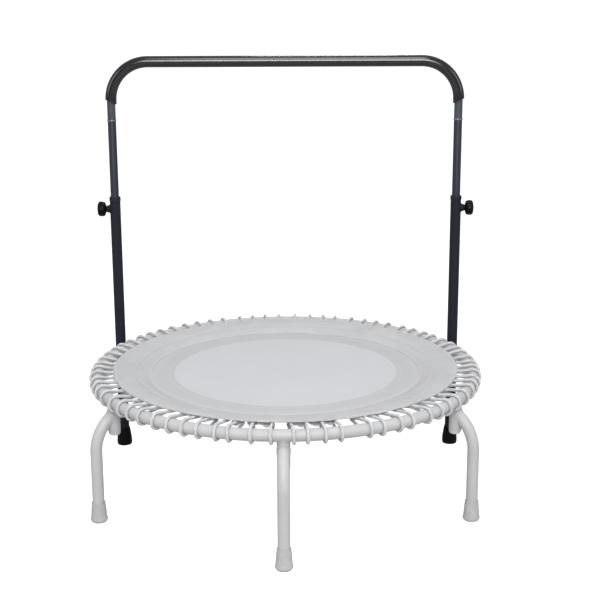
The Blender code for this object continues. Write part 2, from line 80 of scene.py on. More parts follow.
# ------------------------------------------------------------------ materials
class Shade:
    """A Principled material and the few node shapes that the materials here use."""

    def __init__(self, name, colour, roughness, metallic=0.0, **fixed):
        self.mat = bpy.data.materials.new(name)
        self.mat.use_nodes = True
        self.tree = self.mat.node_tree
        self.bsdf = self.tree.nodes["Principled BSDF"]
        self.bsdf.inputs["Base Color"].default_value = (*colour, 1.0)
        self.bsdf.inputs["Roughness"].default_value = roughness
        self.bsdf.inputs["Metallic"].default_value = metallic
        for key, value in fixed.items():
            socket = self.bsdf.inputs[key.replace("_", " ")]
            socket.default_value = value
        self.mat.diffuse_color = (*colour, 1.0)
        self.normal = None
        self.place = self.tree.nodes.new("ShaderNodeTexCoord")

    def node(self, kind, **settings):
        made = self.tree.nodes.new(kind)
        for key, value in settings.items():
            setattr(made, key, value)
        return made

    def link(self, value, socket):
        if isinstance(value, bpy.types.NodeSocket):
            self.tree.links.new(value, socket)
        else:
            socket.default_value = value

    def at(self, scale=(1.0, 1.0, 1.0), source="Object", turn=(0.0, 0.0, 0.0)):
        mapping = self.node("ShaderNodeMapping")
        mapping.inputs["Scale"].default_value = scale
        mapping.inputs["Rotation"].default_value = turn
        self.link(self.place.outputs[source], mapping.inputs["Vector"])
        return mapping.outputs["Vector"]

    def noise(self, scale, detail=3.0, rough=0.5, where=None, lacunarity=2.0):
        made = self.node("ShaderNodeTexNoise")
        made.inputs["Scale"].default_value = scale
        made.inputs["Detail"].default_value = detail
        made.inputs["Roughness"].default_value = rough
        made.inputs["Lacunarity"].default_value = lacunarity
        self.link(where or self.place.outputs["Object"], made.inputs["Vector"])
        return made.outputs["Fac"]

    def cells(self, scale, where=None, feature="F1"):
        made = self.node("ShaderNodeTexVoronoi", feature=feature)
        made.inputs["Scale"].default_value = scale
        self.link(where or self.place.outputs["Object"], made.inputs["Vector"])
        return made.outputs["Distance"]

    def calc(self, operation, a, b=0.0, c=0.0, clamp=False):
        made = self.node("ShaderNodeMath", operation=operation, use_clamp=clamp)
        self.link(a, made.inputs[0])
        self.link(b, made.inputs[1])
        if len(made.inputs) > 2:
            self.link(c, made.inputs[2])
        return made.outputs[0]

    def ramp(self, fac, low, high, a=0.0, b=1.0, smooth=True):
        made = self.node("ShaderNodeMapRange", interpolation_type="SMOOTHSTEP" if smooth else "LINEAR")
        self.link(fac, made.inputs["Value"])
        for key, value in (("From Min", low), ("From Max", high), ("To Min", a), ("To Max", b)):
            made.inputs[key].default_value = value
        return made.outputs["Result"]

    def mix(self, fac, a, b):
        made = self.node("ShaderNodeMix", data_type="RGBA")
        self.link(fac, made.inputs[0])
        for value, socket in ((a, made.inputs[6]), (b, made.inputs[7])):
            self.link(value if isinstance(value, bpy.types.NodeSocket) else (*value, 1.0), socket)
        return made.outputs[2]

    def colour(self, socket):
        self.link(socket, self.bsdf.inputs["Base Color"])

    def rough(self, socket):
        self.link(socket, self.bsdf.inputs["Roughness"])

    def bump(self, height, distance, strength=1.0):
        made = self.node("ShaderNodeBump")
        made.inputs["Strength"].default_value = strength
        made.inputs["Distance"].default_value = distance
        self.link(height, made.inputs["Height"])
        if self.normal is not None:
            self.link(self.normal, made.inputs["Normal"])
        self.normal = made.outputs["Normal"]
        self.link(self.normal, self.bsdf.inputs["Normal"])

    def split(self, vector):
        made = self.node("ShaderNodeSeparateXYZ")
        self.link(vector, made.inputs[0])
        return made.outputs[0], made.outputs[1], made.outputs[2]

    def weave(self, pitch, source="Object", turn=(0.0, 0.0, 0.0)):
        """Height of a plain weave of that thread pitch, from 0 to 1."""
        x, y, _ = self.split(self.at((1.0, 1.0, 1.0), source, turn))
        k = math.pi / pitch
        sx = self.calc("SINE", self.calc("MULTIPLY", x, k))
        sy = self.calc("SINE", self.calc("MULTIPLY", y, k))
        over = self.ramp(self.calc("MULTIPLY", sx, sy), -0.15, 0.15)
        warp = self.calc("ABSOLUTE", sx)
        weft = self.calc("ABSOLUTE", sy)
        a = self.calc("MULTIPLY", over, warp)
        b = self.calc("MULTIPLY", self.calc("SUBTRACT", 1.0, over), weft)
        return self.calc("ADD", a, b)


def shaded(colour, k):
    return tuple(max(0.0, min(1.0, c * k)) for c in colour)


def powder_coat(name, colour, roughness, metallic, **fixed):
    """Cured powder: orange peel, a fine fleck, and a few rubbed patches."""
    s = Shade(name, colour, roughness, metallic, **fixed)
    broad = s.noise(9.0, 4.0, 0.55)
    fleck = s.ramp(s.noise(2400.0, 1.0), 0.42, 0.62)
    base = s.mix(s.ramp(broad, 0.30, 0.70), shaded(colour, 0.96), shaded(colour, 1.04))
    s.colour(s.mix(s.calc("MULTIPLY", fleck, 0.35), base, shaded(colour, 1.12)))
    scuff = s.ramp(s.noise(60.0, 5.0, 0.65), 0.55, 0.72)
    s.rough(s.calc("ADD", roughness - 0.02, s.calc("MULTIPLY", scuff, 0.10)))
    s.bump(s.noise(520.0, 2.0, 0.4), 0.00018, 0.55)
    s.bump(s.noise(2400.0, 1.0), 0.00004, 0.5)
    return s.mat


def moulded_rubber(name, colour, roughness, **fixed):
    s = Shade(name, colour, roughness, **fixed)
    dust = s.ramp(s.noise(38.0, 5.0, 0.6), 0.40, 0.75)
    s.colour(s.mix(dust, shaded(colour, 0.93), shaded(colour, 1.07)))
    s.rough(s.calc("ADD", roughness - 0.05, s.calc("MULTIPLY", dust, 0.12)))
    s.bump(s.noise(1500.0, 2.0), 0.00010, 0.6)
    s.bump(s.noise(90.0, 3.0), 0.0004, 0.25)
    return s.mat


def mat_cloth():
    """Tight plain weave; the middle is printed a lighter shade."""
    border, middle = (0.408, 0.413, 0.424), (0.464, 0.474, 0.496)
    s = Shade("mat_fabric", border, 0.72, Specular_IOR_Level=0.22)
    x, y, _ = s.split(s.place.outputs["Object"])
    radius = s.calc("SQRT", s.calc("ADD", s.calc("MULTIPLY", x, x), s.calc("MULTIPLY", y, y)))
    ragged = s.calc("MULTIPLY", s.calc("SUBTRACT", s.noise(900.0, 1.0), 0.5), 0.0012)
    printed = s.ramp(s.calc("ADD", radius, ragged), PRINT_R - 0.0006, PRINT_R + 0.0006, 1.0, 0.0)
    plain = s.mix(s.ramp(radius, 0.300, 0.345), shaded(border, 0.985), shaded(border, 1.03))
    base = s.mix(printed, plain, middle)
    weave = s.weave(0.0011)
    cloudy = s.ramp(s.noise(14.0, 5.0, 0.6), 0.3, 0.7, 0.99, 1.008)
    slub = s.ramp(s.noise(60.0, 3.0, 0.6, s.at((1.0, 14.0, 1.0))), 0.35, 0.7, 0.985, 1.01)
    # the lower threads of the weave are darkened: painted shade between the threads, on top of the random cloudy and
    # slub tone
    shade = s.calc("MULTIPLY", s.calc("MULTIPLY", cloudy, slub), s.ramp(weave, 0.0, 1.0, 0.90, 1.03))
    tint = s.node("ShaderNodeVectorMath", operation="SCALE")
    s.link(base, tint.inputs[0])
    s.link(shade, tint.inputs["Scale"])
    s.colour(tint.outputs["Vector"])
    s.rough(s.calc("ADD", 0.74, s.calc("MULTIPLY", printed, -0.06)))
    s.bump(weave, 0.00022, 0.8)
    s.bump(s.noise(22.0, 3.0), 0.0010, 0.05)
    return s.mat


def skirt_cloth():
    """Coated cloth with a fine rib and a soft gloss."""
    colour = (0.392, 0.395, 0.404)
    s = Shade("skirt_fabric", colour, 0.46, Specular_IOR_Level=0.30, Subsurface_Weight=0.5, Subsurface_Radius=(1.0, 1.0, 1.0), Subsurface_Scale=0.006)
    weave = s.weave(0.0009)
    cloudy = s.ramp(s.noise(18.0, 5.0, 0.6), 0.3, 0.7, 0.96, 1.03)
    # the lower threads of the weave are darkened: painted shade between the threads, on top of the random cloudy tone
    shade = s.calc("MULTIPLY", cloudy, s.ramp(weave, 0.0, 1.0, 0.93, 1.02))
    tint = s.node("ShaderNodeVectorMath", operation="SCALE")
    tint.inputs[0].default_value = colour
    s.link(shade, tint.inputs["Scale"])
    s.colour(tint.outputs["Vector"])
    s.rough(s.ramp(s.noise(45.0, 4.0), 0.3, 0.7, 0.42, 0.48))
    s.bump(weave, 0.00014, 0.6)
    s.bump(s.noise(26.0, 3.0, 0.5), 0.0012, 0.03)
    return s.mat


def webbing_cloth(name, colour, source="UV"):
    """Heavy webbing: ribs across it and a herringbone of threads."""
    s = Shade(name, colour, 0.72, Specular_IOR_Level=0.30, Subsurface_Weight=0.8, Subsurface_Radius=(1.0, 1.0, 1.0), Subsurface_Scale=0.010)
    x, y, _ = s.split(s.at((1.0, 1.0, 1.0), source))
    rib = s.calc("ABSOLUTE", s.calc("SINE", s.calc("MULTIPLY", x, math.pi / 0.0021)))
    slant = s.calc("ADD", s.calc("MULTIPLY", y, math.pi / 0.0013), s.calc("MULTIPLY", rib, 1.3))
    thread = s.calc("ABSOLUTE", s.calc("SINE", slant))
    height = s.calc("ADD", s.calc("MULTIPLY", rib, 0.6), s.calc("MULTIPLY", thread, 0.4))
    # colour darker where the rib and thread height is low: painted shade in the valleys between ribs and threads
    s.colour(s.mix(height, shaded(colour, 0.84), shaded(colour, 1.07)))
    s.bump(height, 0.00035, 0.8)
    s.bump(s.noise(1800.0, 2.0), 0.00006, 0.5)
    return s.mat


def braided_sheath():
    """Two sets of yarns laid round the cord in opposite senses."""
    colour = (0.430, 0.433, 0.441)
    s = Shade("bungee", colour, 0.72, Specular_IOR_Level=0.25, Subsurface_Weight=1.0, Subsurface_Radius=(1.0, 1.0, 1.0), Subsurface_Scale=0.010)
    u, v, _ = s.split(s.place.outputs["UV"])          # u: turns round the cord, v: metres along it
    turns = s.calc("MULTIPLY", u, 8.0 * math.pi)
    along = s.calc("MULTIPLY", v, math.pi / 0.0016)
    one = s.calc("ABSOLUTE", s.calc("SINE", s.calc("ADD", turns, along)))
    two = s.calc("ABSOLUTE", s.calc("SINE", s.calc("SUBTRACT", turns, along)))
    over = s.ramp(s.calc("MULTIPLY", s.calc("SINE", s.calc("MULTIPLY", turns, 1.0)), s.calc("SINE", along)), -0.2, 0.2)
    height = s.calc("ADD", s.calc("MULTIPLY", over, one), s.calc("MULTIPLY", s.calc("SUBTRACT", 1.0, over), two))
    cloudy = s.ramp(s.noise(50.0, 3.0), 0.3, 0.7, 0.96, 1.04)
    tint = s.node("ShaderNodeVectorMath", operation="SCALE")
    # the yarns are darker where their height is low: painted shade where one yarn dips under the other
    s.link(s.mix(height, shaded(colour, 0.88), shaded(colour, 1.04)), tint.inputs[0])
    s.link(cloudy, tint.inputs["Scale"])
    s.colour(tint.outputs["Vector"])
    s.bump(height, 0.0004, 0.9)
    s.bump(s.noise(3000.0, 1.0), 0.00005, 0.5)
    return s.mat


def gloss_tube(name, colour, roughness):
    """Dark coat over steel: a fine metal fleck under a clear layer, drawn along the tube."""
    s = Shade(name, colour, roughness, 0.0, Specular_IOR_Level=0.13, Coat_Weight=0.03, Coat_Roughness=0.30)
    fleck = s.ramp(s.noise(3200.0, 1.0), 0.50, 0.70)
    drawn = s.ramp(s.noise(220.0, 3.0, 0.5, s.at((1.0, 1.0, 0.03))), 0.3, 0.7)
    base = s.mix(drawn, shaded(colour, 0.90), shaded(colour, 1.10))
    s.colour(s.mix(s.calc("MULTIPLY", fleck, 0.30), base, shaded(colour, 1.9)))
    s.rough(s.ramp(s.noise(30.0, 4.0), 0.3, 0.7, roughness - 0.04, roughness + 0.05))
    s.bump(s.noise(420.0, 2.0), 0.00012, 0.35)
    return s.mat


def foam_skin():
    """Closed-cell foam with a satin skin, pores and faint creases."""
    colour = (0.0010, 0.0013, 0.0034)
    s = Shade("grip_foam", colour, 0.16, Specular_IOR_Level=0.64)
    pores = s.ramp(s.cells(1500.0), 0.0, 0.45)
    patch = s.ramp(s.noise(40.0, 4.0), 0.3, 0.7)
    base = s.mix(patch, shaded(colour, 0.85), shaded(colour, 1.15))
    # the pores are darkened to 0.45 of the colour: painted shade in the pits
    s.colour(s.mix(pores, shaded(colour, 0.45), base))
    s.rough(s.ramp(s.noise(70.0, 4.0), 0.3, 0.7, 0.14, 0.19))
    s.bump(pores, 0.00010, 0.18)
    s.bump(s.noise(140.0, 3.0), 0.0005, 0.05)
    return s.mat


def moulded_plastic(name, colour, roughness, **fixed):
    """Spark-eroded grain and random patches of a little polish."""
    s = Shade(name, colour, roughness, **fixed)
    grain = s.noise(2600.0, 2.0, 0.6)
    patch = s.ramp(s.noise(120.0, 3.0), 0.35, 0.65)
    s.colour(s.mix(patch, shaded(colour, 0.88), shaded(colour, 1.14)))
    s.rough(s.ramp(patch, 0.0, 1.0, roughness - 0.05, roughness + 0.06))
    s.bump(grain, 0.00006, 0.6)
    return s.mat


def plated(name, colour, roughness, along=(1.0, 1.0, 30.0)):
    s = Shade(name, colour, roughness, 1.0)
    lines = s.noise(160.0, 4.0, 0.6, s.at(along))
    s.colour(s.mix(s.ramp(s.noise(400.0, 3.0), 0.35, 0.65), shaded(colour, 0.90), shaded(colour, 1.06)))
    s.rough(s.ramp(lines, 0.3, 0.7, roughness - 0.06, roughness + 0.10))
    s.bump(lines, 0.00004, 0.4)
    return s.mat


def thread(name, colour):
    s = Shade(name, colour, 0.65, Sheen_Weight=0.2, Sheen_Roughness=0.4)
    ply = s.noise(2500.0, 2.0)
    # darker where the ply noise, which also makes the bump, is low: painted shade between the plies
    s.colour(s.mix(ply, shaded(colour, 0.86), shaded(colour, 1.08)))
    s.bump(ply, 0.0001, 0.6)
    return s.mat


# ------------------------------------------------------------------- builders
def polar(radius, azimuth_deg, z):
    a = math.radians(azimuth_deg)
    return Vector((radius * math.cos(a), radius * math.sin(a), z))


def finish(name, bm, mat, body=None, nodes=(), smooth_deg=38.0, recalc=True):
    if recalc:
        bmesh.ops.recalc_face_normals(bm, faces=bm.faces)
    mesh = bpy.data.meshes.new(name)
    bm.to_mesh(mesh)
    bm.free()
    mesh.materials.append(mat)
    mesh.shade_smooth()
    mesh.set_sharp_from_angle(angle=math.radians(smooth_deg))
    obj = bpy.data.objects.new(name, mesh)
    bpy.context.scene.collection.objects.link(obj)
    if nodes:
        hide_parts(*nodes)
    if body:
        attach(obj, body)
    return obj


def frames_along(points, closed=False):
    """One (side, up) pair per point, carried along the path without twist."""
    n = len(points)
    tangents = []
    for i in range(n):
        if closed:
            t = points[(i + 1) % n] - points[i - 1]
        elif 0 < i < n - 1:
            t = (points[i] - points[i - 1]).normalized() + (points[i + 1] - points[i]).normalized()
        else:
            t = points[min(i + 1, n - 1)] - points[max(i - 1, 0)]
        tangents.append(t.normalized())
    start = Vector((0, 0, 1)) if abs(tangents[0].z) < 0.9 else Vector((0, 1, 0))
    up = (start - start.dot(tangents[0]) * tangents[0]).normalized()
    pairs = []
    for t in tangents:
        up = (up - up.dot(t) * t).normalized()
        pairs.append((t.cross(up).normalized(), up.copy()))
    if closed:                                        # spread the leftover twist over the loop
        t = tangents[0]
        last = (up - up.dot(t) * t).normalized()
        side, first = pairs[0]
        twist = math.atan2(last.dot(side), last.dot(first))
        for i, (s, u) in enumerate(pairs):
            turn = Matrix.Rotation(twist * i / n * (1 if s.cross(u).dot(tangents[i]) < 0 else -1), 3, tangents[i])
            pairs[i] = (turn @ s, turn @ u)
    return pairs


def sweep(points, radii, sides, bores=None, phase=0.0, closed=False, section=None, round_ends=False):
    """A tube along the points, with turns and metres in its UV map. section gives (side, up) factors of its outline instead of a circle."""
    points = [Vector(p) for p in points]
    radii = [radii] * len(points) if isinstance(radii, float) else list(radii)
    if round_ends:
        r, steps = radii[0], 4
        head, tail = (points[0] - points[1]).normalized(), (points[-1] - points[-2]).normalized()
        a = [(points[0] + head * r * math.sin(math.pi / 2 * k / steps), r * max(0.12, math.cos(math.pi / 2 * k / steps))) for k in range(steps, 0, -1)]
        b = [(points[-1] + tail * r * math.sin(math.pi / 2 * k / steps), r * max(0.12, math.cos(math.pi / 2 * k / steps))) for k in range(1, steps + 1)]
        points = [p for p, _ in a] + points + [p for p, _ in b]
        radii = [q for _, q in a] + radii + [q for _, q in b]
    n = len(points)
    pairs = frames_along(points, closed)
    outline = section or [(math.sin(phase + 2 * math.pi * k / sides), math.cos(phase + 2 * math.pi * k / sides)) for k in range(sides)]
    sides = len(outline)
    bm = bmesh.new()
    uv = bm.loops.layers.uv.new("UVMap")
    length = [0.0]
    for a, b in zip(points, points[1:]):
        length.append(length[-1] + (b - a).length)
    total = length[-1] + (points[0] - points[-1]).length

    def rings(values):
        return [[bm.verts.new(p + r * (x * side + y * up)) for x, y in outline] for p, (side, up), r in zip(points, pairs, values)]

    def skin(rows, flip=False):
        count = n if closed else n - 1
        for i in range(count):
            a, b = rows[i], rows[(i + 1) % n]
            va, vb = length[i], length[i + 1] if i + 1 < n else total
            for k in range(sides):
                j = (k + 1) % sides
                corners = [(a[k], k, va), (a[j], k + 1, va), (b[j], k + 1, vb), (b[k], k, vb)]
                if flip:
                    corners.reverse()
                face = bm.faces.new([c[0] for c in corners])
                for loop, (_, turn, along) in zip(face.loops, corners):
                    loop[uv].uv = (turn / sides, along)

    outer = rings(radii)
    skin(outer)
    if bores is not None:
        inner = rings([bores] * n if isinstance(bores, float) else bores)
        skin(inner, True)
        for rows in ((outer[0], inner[0]), (outer[-1], inner[-1])):
            for k in range(sides):
                j = (k + 1) % sides
                bm.faces.new((rows[0][k], rows[1][k], rows[1][j], rows[0][j]))
    elif not closed:
        bm.faces.new(outer[0])
        bm.faces.new(list(reversed(outer[-1])))
    return bm


def turned(profile, segments, closed_profile=False, shape=None):
    """Turns (radius, height) points round Z. shape scales the radius by height and angle."""
    bm = bmesh.new()
    rings = []
    for r, z in profile:
        if r < 1e-9:
            rings.append([bm.verts.new((0, 0, z))])
        else:
            ring = []
            for k in range(segments):
                a = 2 * math.pi * k / segments
                q = r * (shape(r, z, a) if shape else 1.0)
                ring.append(bm.verts.new((q * math.cos(a), q * math.sin(a), z)))
            rings.append(ring)
    pairs = list(zip(rings, rings[1:]))
    if closed_profile:
        pairs.append((rings[-1], rings[0]))
    for a, b in pairs:
        for k in range(segments):
            j = (k + 1) % segments
            if len(a) == 1 and len(b) == 1:
                continue
            if len(a) == 1:
                bm.faces.new((a[0], b[k], b[j]))
            elif len(b) == 1:
                bm.faces.new((a[k], b[0], a[j]))
            else:
                bm.faces.new((a[k], b[k], b[j], a[j]))
    return bm


def place(bm, matrix):
    bmesh.ops.transform(bm, matrix=matrix, verts=bm.verts)
    return bm


def along_x(sign, origin):
    return Matrix.Translation(origin) @ Matrix.Rotation(sign * math.pi / 2, 4, "Y")


def rounded(points, radius, steps=5):
    """A (r, z) outline with its inner corners rounded. radius is one value or one per point."""
    made = []
    for i, p in enumerate(points):
        if i in (0, len(points) - 1):
            made.append(p)
            continue
        r = radius if isinstance(radius, float) else radius[i]
        a, b, c = Vector(points[i - 1]), Vector(p), Vector(points[i + 1])
        reach = min(r, (a - b).length * 0.45, (c - b).length * 0.45)
        if reach < 1e-5:
            made.append(p)
            continue
        s, e = b + (a - b).normalized() * reach, b + (c - b).normalized() * reach
        for k in range(steps + 1):
            t = k / steps
            q = s * (1 - t) ** 2 + b * 2 * t * (1 - t) + e * t * t
            made.append((q.x, q.y))
    return made


def smooth_path(points, corner, steps=7):
    """A polyline with each inner corner turned on a curve."""
    points = [Vector(p) for p in points]
    made = [points[0]]
    for i in range(1, len(points) - 1):
        a, b, c = points[i - 1], points[i], points[i + 1]
        reach = min(corner, (a - b).length * 0.48, (c - b).length * 0.48)
        s, e = b + (a - b).normalized() * reach, b + (c - b).normalized() * reach
        for k in range(steps + 1):
            t = k / steps
            made.append(s * (1 - t) ** 2 + b * 2 * t * (1 - t) + e * t * t)
    made.append(points[-1])
    thin = [made[0]]
    for p in made[1:]:
        if (p - thin[-1]).length > 1e-5:
            thin.append(p)
    return thin


def combine(target, other, operation):
    mod = target.modifiers.new("join", "BOOLEAN")
    mod.operation = operation
    mod.object = other
    mod.solver = "EXACT"
    graph = bpy.context.evaluated_depsgraph_get()
    graph.update()
    mesh = bpy.data.meshes.new_from_object(target.evaluated_get(graph))
    target.modifiers.clear()
    old, gone = target.data, other.data
    target.data = mesh
    bpy.data.meshes.remove(old)
    bpy.data.objects.remove(other)
    bpy.data.meshes.remove(gone)
    mesh.name = target.name
    mesh.shade_smooth()
    mesh.set_sharp_from_angle(angle=math.radians(30))
    return target


def join(bms):
    """Several bmeshes as one."""
    whole = bms[0]
    for other in bms[1:]:
        mesh = bpy.data.meshes.new("part")
        other.to_mesh(mesh)
        other.free()
        whole.from_mesh(mesh)
        bpy.data.meshes.remove(mesh)
    return whole


def bead(points, size, seed=0):
    """A weld bead along a closed curve: overlapping ripples of uneven size."""
    points = [Vector(p) for p in points]
    length = sum((points[i] - points[i - 1]).length for i in range(len(points)))
    ripples = max(8, round(length / 0.0023))
    count = ripples * 5
    loop = points + [points[0]]
    walk = [0.0]
    for a, b in zip(loop, loop[1:]):
        walk.append(walk[-1] + (b - a).length)
    made, radii, j = [], [], 0
    for i in range(count):
        d = walk[-1] * i / count
        while walk[j + 1] < d:
            j += 1
        t = (d - walk[j]) / max(walk[j + 1] - walk[j], 1e-9)
        made.append(loop[j].lerp(loop[j + 1], t))
        phase = (i / 5.0) % 1.0
        wobble = noise.noise(Vector((i * 0.35, seed * 7.3, 0.5)))
        radii.append(size * (0.94 + 0.10 * math.sqrt(max(0.0, math.sin(math.pi * phase))) + 0.14 * wobble))
    return sweep(made, radii, 8, closed=True)


def cylinder_seam(start, direction, small_r, axis_point, axis, big_r, count=64):
    """Where a small tube that runs from start along direction first meets a bigger tube."""
    d, w = Vector(direction).normalized(), Vector(axis).normalized()
    start, axis_point = Vector(start), Vector(axis_point)
    side = d.cross(w).normalized()
    up = side.cross(d).normalized()
    found = []
    for i in range(count):
        a = 2 * math.pi * i / count
        q = start + small_r * (math.cos(a) * up + math.sin(a) * side) - axis_point
        q, e = q - q.dot(w) * w, d - d.dot(w) * w
        qa, qb, qc = e.dot(e), 2 * q.dot(e), q.dot(q) - big_r * big_r
        root = max(qb * qb - 4 * qa * qc, 0.0)
        s = (-qb - math.sqrt(root)) / (2 * qa)
        found.append(start + small_r * (math.cos(a) * up + math.sin(a) * side) + s * d)
    return found


def stub_seam(azimuth, count=72):
    """Where a station's stub meets the ring."""
    centre = polar(STATION_R, azimuth, 0)
    found = []
    for i in range(count):
        a = 2 * math.pi * i / count
        p = centre + (STUB_R + 0.0004) * Vector((math.cos(a), math.sin(a), 0))
        off = math.hypot(p.x, p.y) - RING_R
        p.z = RING_Z - max(math.sqrt(max(TUBE_R ** 2 - off ** 2, 0.0)), 0.0055)
        found.append(p)
    return found


# ------------------------------------------------------------------ the frame
def ring_tube(mat):
    """The ring, drawn as bent tube: a hair out of round between stations."""
    bm = bmesh.new()
    segments, sides = 360, 36
    rows = []
    for i in range(segments):
        a = 2 * math.pi * i / segments
        wave = 0.00012 * math.cos(6 * a)
        rows.append([
            bm.verts.new((
                (RING_R + wave + TUBE_R * math.cos(b)) * math.cos(a),
                (RING_R + wave + TUBE_R * math.cos(b)) * math.sin(a),
                RING_Z + TUBE_R * math.sin(b),
            ))
            for b in (2 * math.pi * k / sides for k in range(sides))
        ])
    for i in range(segments):
        a, b = rows[i], rows[(i + 1) % segments]
        for k in range(sides):
            j = (k + 1) % sides
            bm.faces.new((a[k], b[k], b[j], a[j]))
    return finish("ring_tube", bm, mat, "frame", ["frame_ring"])


def leg_line(azimuth, steps=22):
    path = [polar(LEG_R, azimuth, LEG_BOTTOM_Z), polar(LEG_R, azimuth, LEG_BEND_Z - 0.03), polar(LEG_R, azimuth, LEG_BEND_Z)]
    for i in range(1, steps + 1):
        a = math.radians(LEG_BEND_DEG) * i / steps
        path.append(polar(LEG_R - LEG_BEND_R * (1 - math.cos(a)), azimuth, LEG_BEND_Z + LEG_BEND_R * math.sin(a)))
    last = path[-1]
    reach = math.hypot(last.x, last.y) - STATION_R
    path.append(polar(STATION_R, azimuth, last.z + reach / math.tan(math.radians(LEG_BEND_DEG))))
    return path


def stub_shape(azimuth):
    """A stub with its lower edge broken."""
    profile = [(0.0, STUB_BOTTOM_Z), (STUB_R - 0.0008, STUB_BOTTOM_Z), (STUB_R, STUB_BOTTOM_Z + 0.0008), (STUB_R, RING_Z - 0.0050), (0.0, RING_Z - 0.0050)]
    return place(turned(profile, 48), Matrix.Translation(polar(STATION_R, azimuth, 0)))


def leg(label, azimuth, mat):
    line = leg_line(azimuth)
    obj = finish(f"leg_tube_{label}", sweep(line, TUBE_R, 40), mat)
    combine(obj, finish("stub", stub_shape(azimuth), mat), "UNION")
    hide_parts(f"leg_{label}")
    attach(obj, "frame")
    seam = cylinder_seam(line[-2], line[-1] - line[-2], TUBE_R + 0.0003, polar(STATION_R, azimuth, 0), (0, 0, 1), STUB_R + 0.0003)
    weld = join([bead(seam, 0.0018, 1), bead(stub_seam(azimuth), 0.0018, 2)])
    finish(f"leg_welds_{label}", weld, mat, "frame", smooth_deg=60)


def dome(name, azimuth, mat, node):
    """A domed bolt head with a hexagon socket in it."""
    head = STUB_BOTTOM_Z - GAP
    outer = [(0.0, BOLT_TOP_Z), (BOLT_R - 0.0006, BOLT_TOP_Z), (BOLT_R, BOLT_TOP_Z - 0.0006), (BOLT_R, head), (DOME_R - 0.0004, head)]
    for k in range(0, 13):
        a = math.pi / 2 * k / 12
        outer.append(((DOME_R - 0.0046) + 0.0046 * math.cos(a) if k < 12 else DOME_R - 0.0046, head - 0.0008 - (head - 0.0008 - DOME_BOTTOM_Z) * math.sin(a)))
    outer += [(0.0050, DOME_BOTTOM_Z), (0.0046, DOME_BOTTOM_Z + 0.0003), (0.0046, DOME_BOTTOM_Z + 0.0042), (0.0, DOME_BOTTOM_Z + 0.0046)]

    def hexed(r, z, a):
        if r < 0.0049 and z < head:
            s = (a + math.pi / 6) % (math.pi / 3) - math.pi / 6
            return 0.90 / max(math.cos(s), 0.5)
        return 1.0

    bm = place(turned(outer, 48, shape=hexed), Matrix.Translation(polar(STATION_R, azimuth, 0)))
    return finish(name, bm, mat, "frame", [node], 30)


def foot(name, radius, azimuth, base_r, top_r, mat, node, straight):
    """A rubber cap: lip, waist, flared skirt with a rounded hem, and a ringed tread."""
    if straight:
        outline = [
            (FOOT_BORE_R + 0.0002, FOOT_H), (top_r - 0.0002, FOOT_H), (top_r + 0.0006, FOOT_H - 0.0030), (top_r + 0.0016, FOOT_H - 0.0110),
            (base_r - 0.0012, 0.0240), (base_r - 0.0002, 0.0120), (base_r, 0.0070), (base_r - 0.0012, 0.0),
        ]
        corners = [0.0, 0.0010, 0.0018, 0.0050, 0.0080, 0.0030, 0.0040, 0.0030]
    else:
        outline = [
            (FOOT_BORE_R + 0.0002, FOOT_H), (top_r - 0.0001, FOOT_H), (top_r, FOOT_H - 0.0060), (top_r + 0.0006, FOOT_H - 0.0085), (top_r + 0.0014, FOOT_H - 0.0200),
            (base_r - 0.0014, 0.0140), (base_r, 0.0070), (base_r, 0.0045), (base_r - 0.0030, 0.0),
        ]
        corners = [0.0, 0.0012, 0.0016, 0.0030, 0.0080, 0.0060, 0.0020, 0.0020, 0.0028]
    sole = []
    r = base_r - 0.0045
    while r > 0.0035:
        sole += [(r, 0.0), (r - 0.0005, 0.0009), (r - 0.0013, 0.0009), (r - 0.0018, 0.0)]
        r -= 0.0036
    inside = [(0.0, FOOT_FLOOR), (FOOT_BORE_R, FOOT_FLOOR)]
    profile = inside + rounded(outline + [(base_r - 0.0040, 0.0)], corners + [0.0])[0:] + sole + [(0.0, 0.0)]
    bm = place(turned(profile, 64), Matrix.Translation(polar(radius, azimuth, 0)))
    return finish(name, bm, mat, "frame", [node], 35)


# ------------------------------------------------------------- mat and skirt
def mat_height(r, a):
    """The mat dishes a little under its own weight, and its hem lifts where the tabs pull."""
    dish = -0.0010 * (1 - (r / MAT_R) ** 2)
    pull = 0.00025 * max(0.0, (r - 0.34) / 0.045) * math.cos(54 * a)
    return dish + pull


def disc_sheet(radii, top, thickness, segments):
    """A closed round sheet, or an annulus if the first radius isn't 0."""
    bm = bmesh.new()
    layers = []
    for drop in (0.0, thickness):
        rows = []
        for r in radii:
            if r < 1e-9:
                rows.append([bm.verts.new((0, 0, top(0.0, 0.0) - drop))])
            else:
                rows.append([
                    bm.verts.new((r * math.cos(a), r * math.sin(a), top(r, a) - drop))
                    for a in (2 * math.pi * k / segments for k in range(segments))
                ])
        layers.append(rows)
    for rows in layers:
        for a, b in zip(rows, rows[1:]):
            for k in range(segments):
                j = (k + 1) % segments
                if len(a) == 1:
                    bm.faces.new((a[0], b[k], b[j]))
                else:
                    bm.faces.new((a[k], b[k], b[j], a[j]))
    edges = [-1] if radii[0] < 1e-9 else [0, -1]
    for e in edges:
        a, b = layers[0][e], layers[1][e]
        for k in range(segments):
            j = (k + 1) % segments
            bm.faces.new((a[k], b[k], b[j], a[j]))
    return bm


def jump_mat(mat):
    radii = [0.0] + [0.385 * (k / 44) ** 0.9 for k in range(1, 44)] + [0.3840, 0.3850]
    bm = disc_sheet(radii, lambda r, a: MAT_TOP_Z - 0.0004 + mat_height(r, a), 0.0018, 216)
    obj = finish("mat_cloth", bm, mat, "mat", ["jump_mat"])
    return obj


# a laced cord never spaces itself quite evenly: the turns nearest the step-on side, by cord
LAID = {
    13: ((-108.1, -107.2), (-104.6, -103.6), (-98.6, -100.0), (-93.3, -93.5)),
    14: ((-87.3, -88.6), (-83.6, -82.9), (-79.0, -77.8), (-74.7, -73.6)),
}


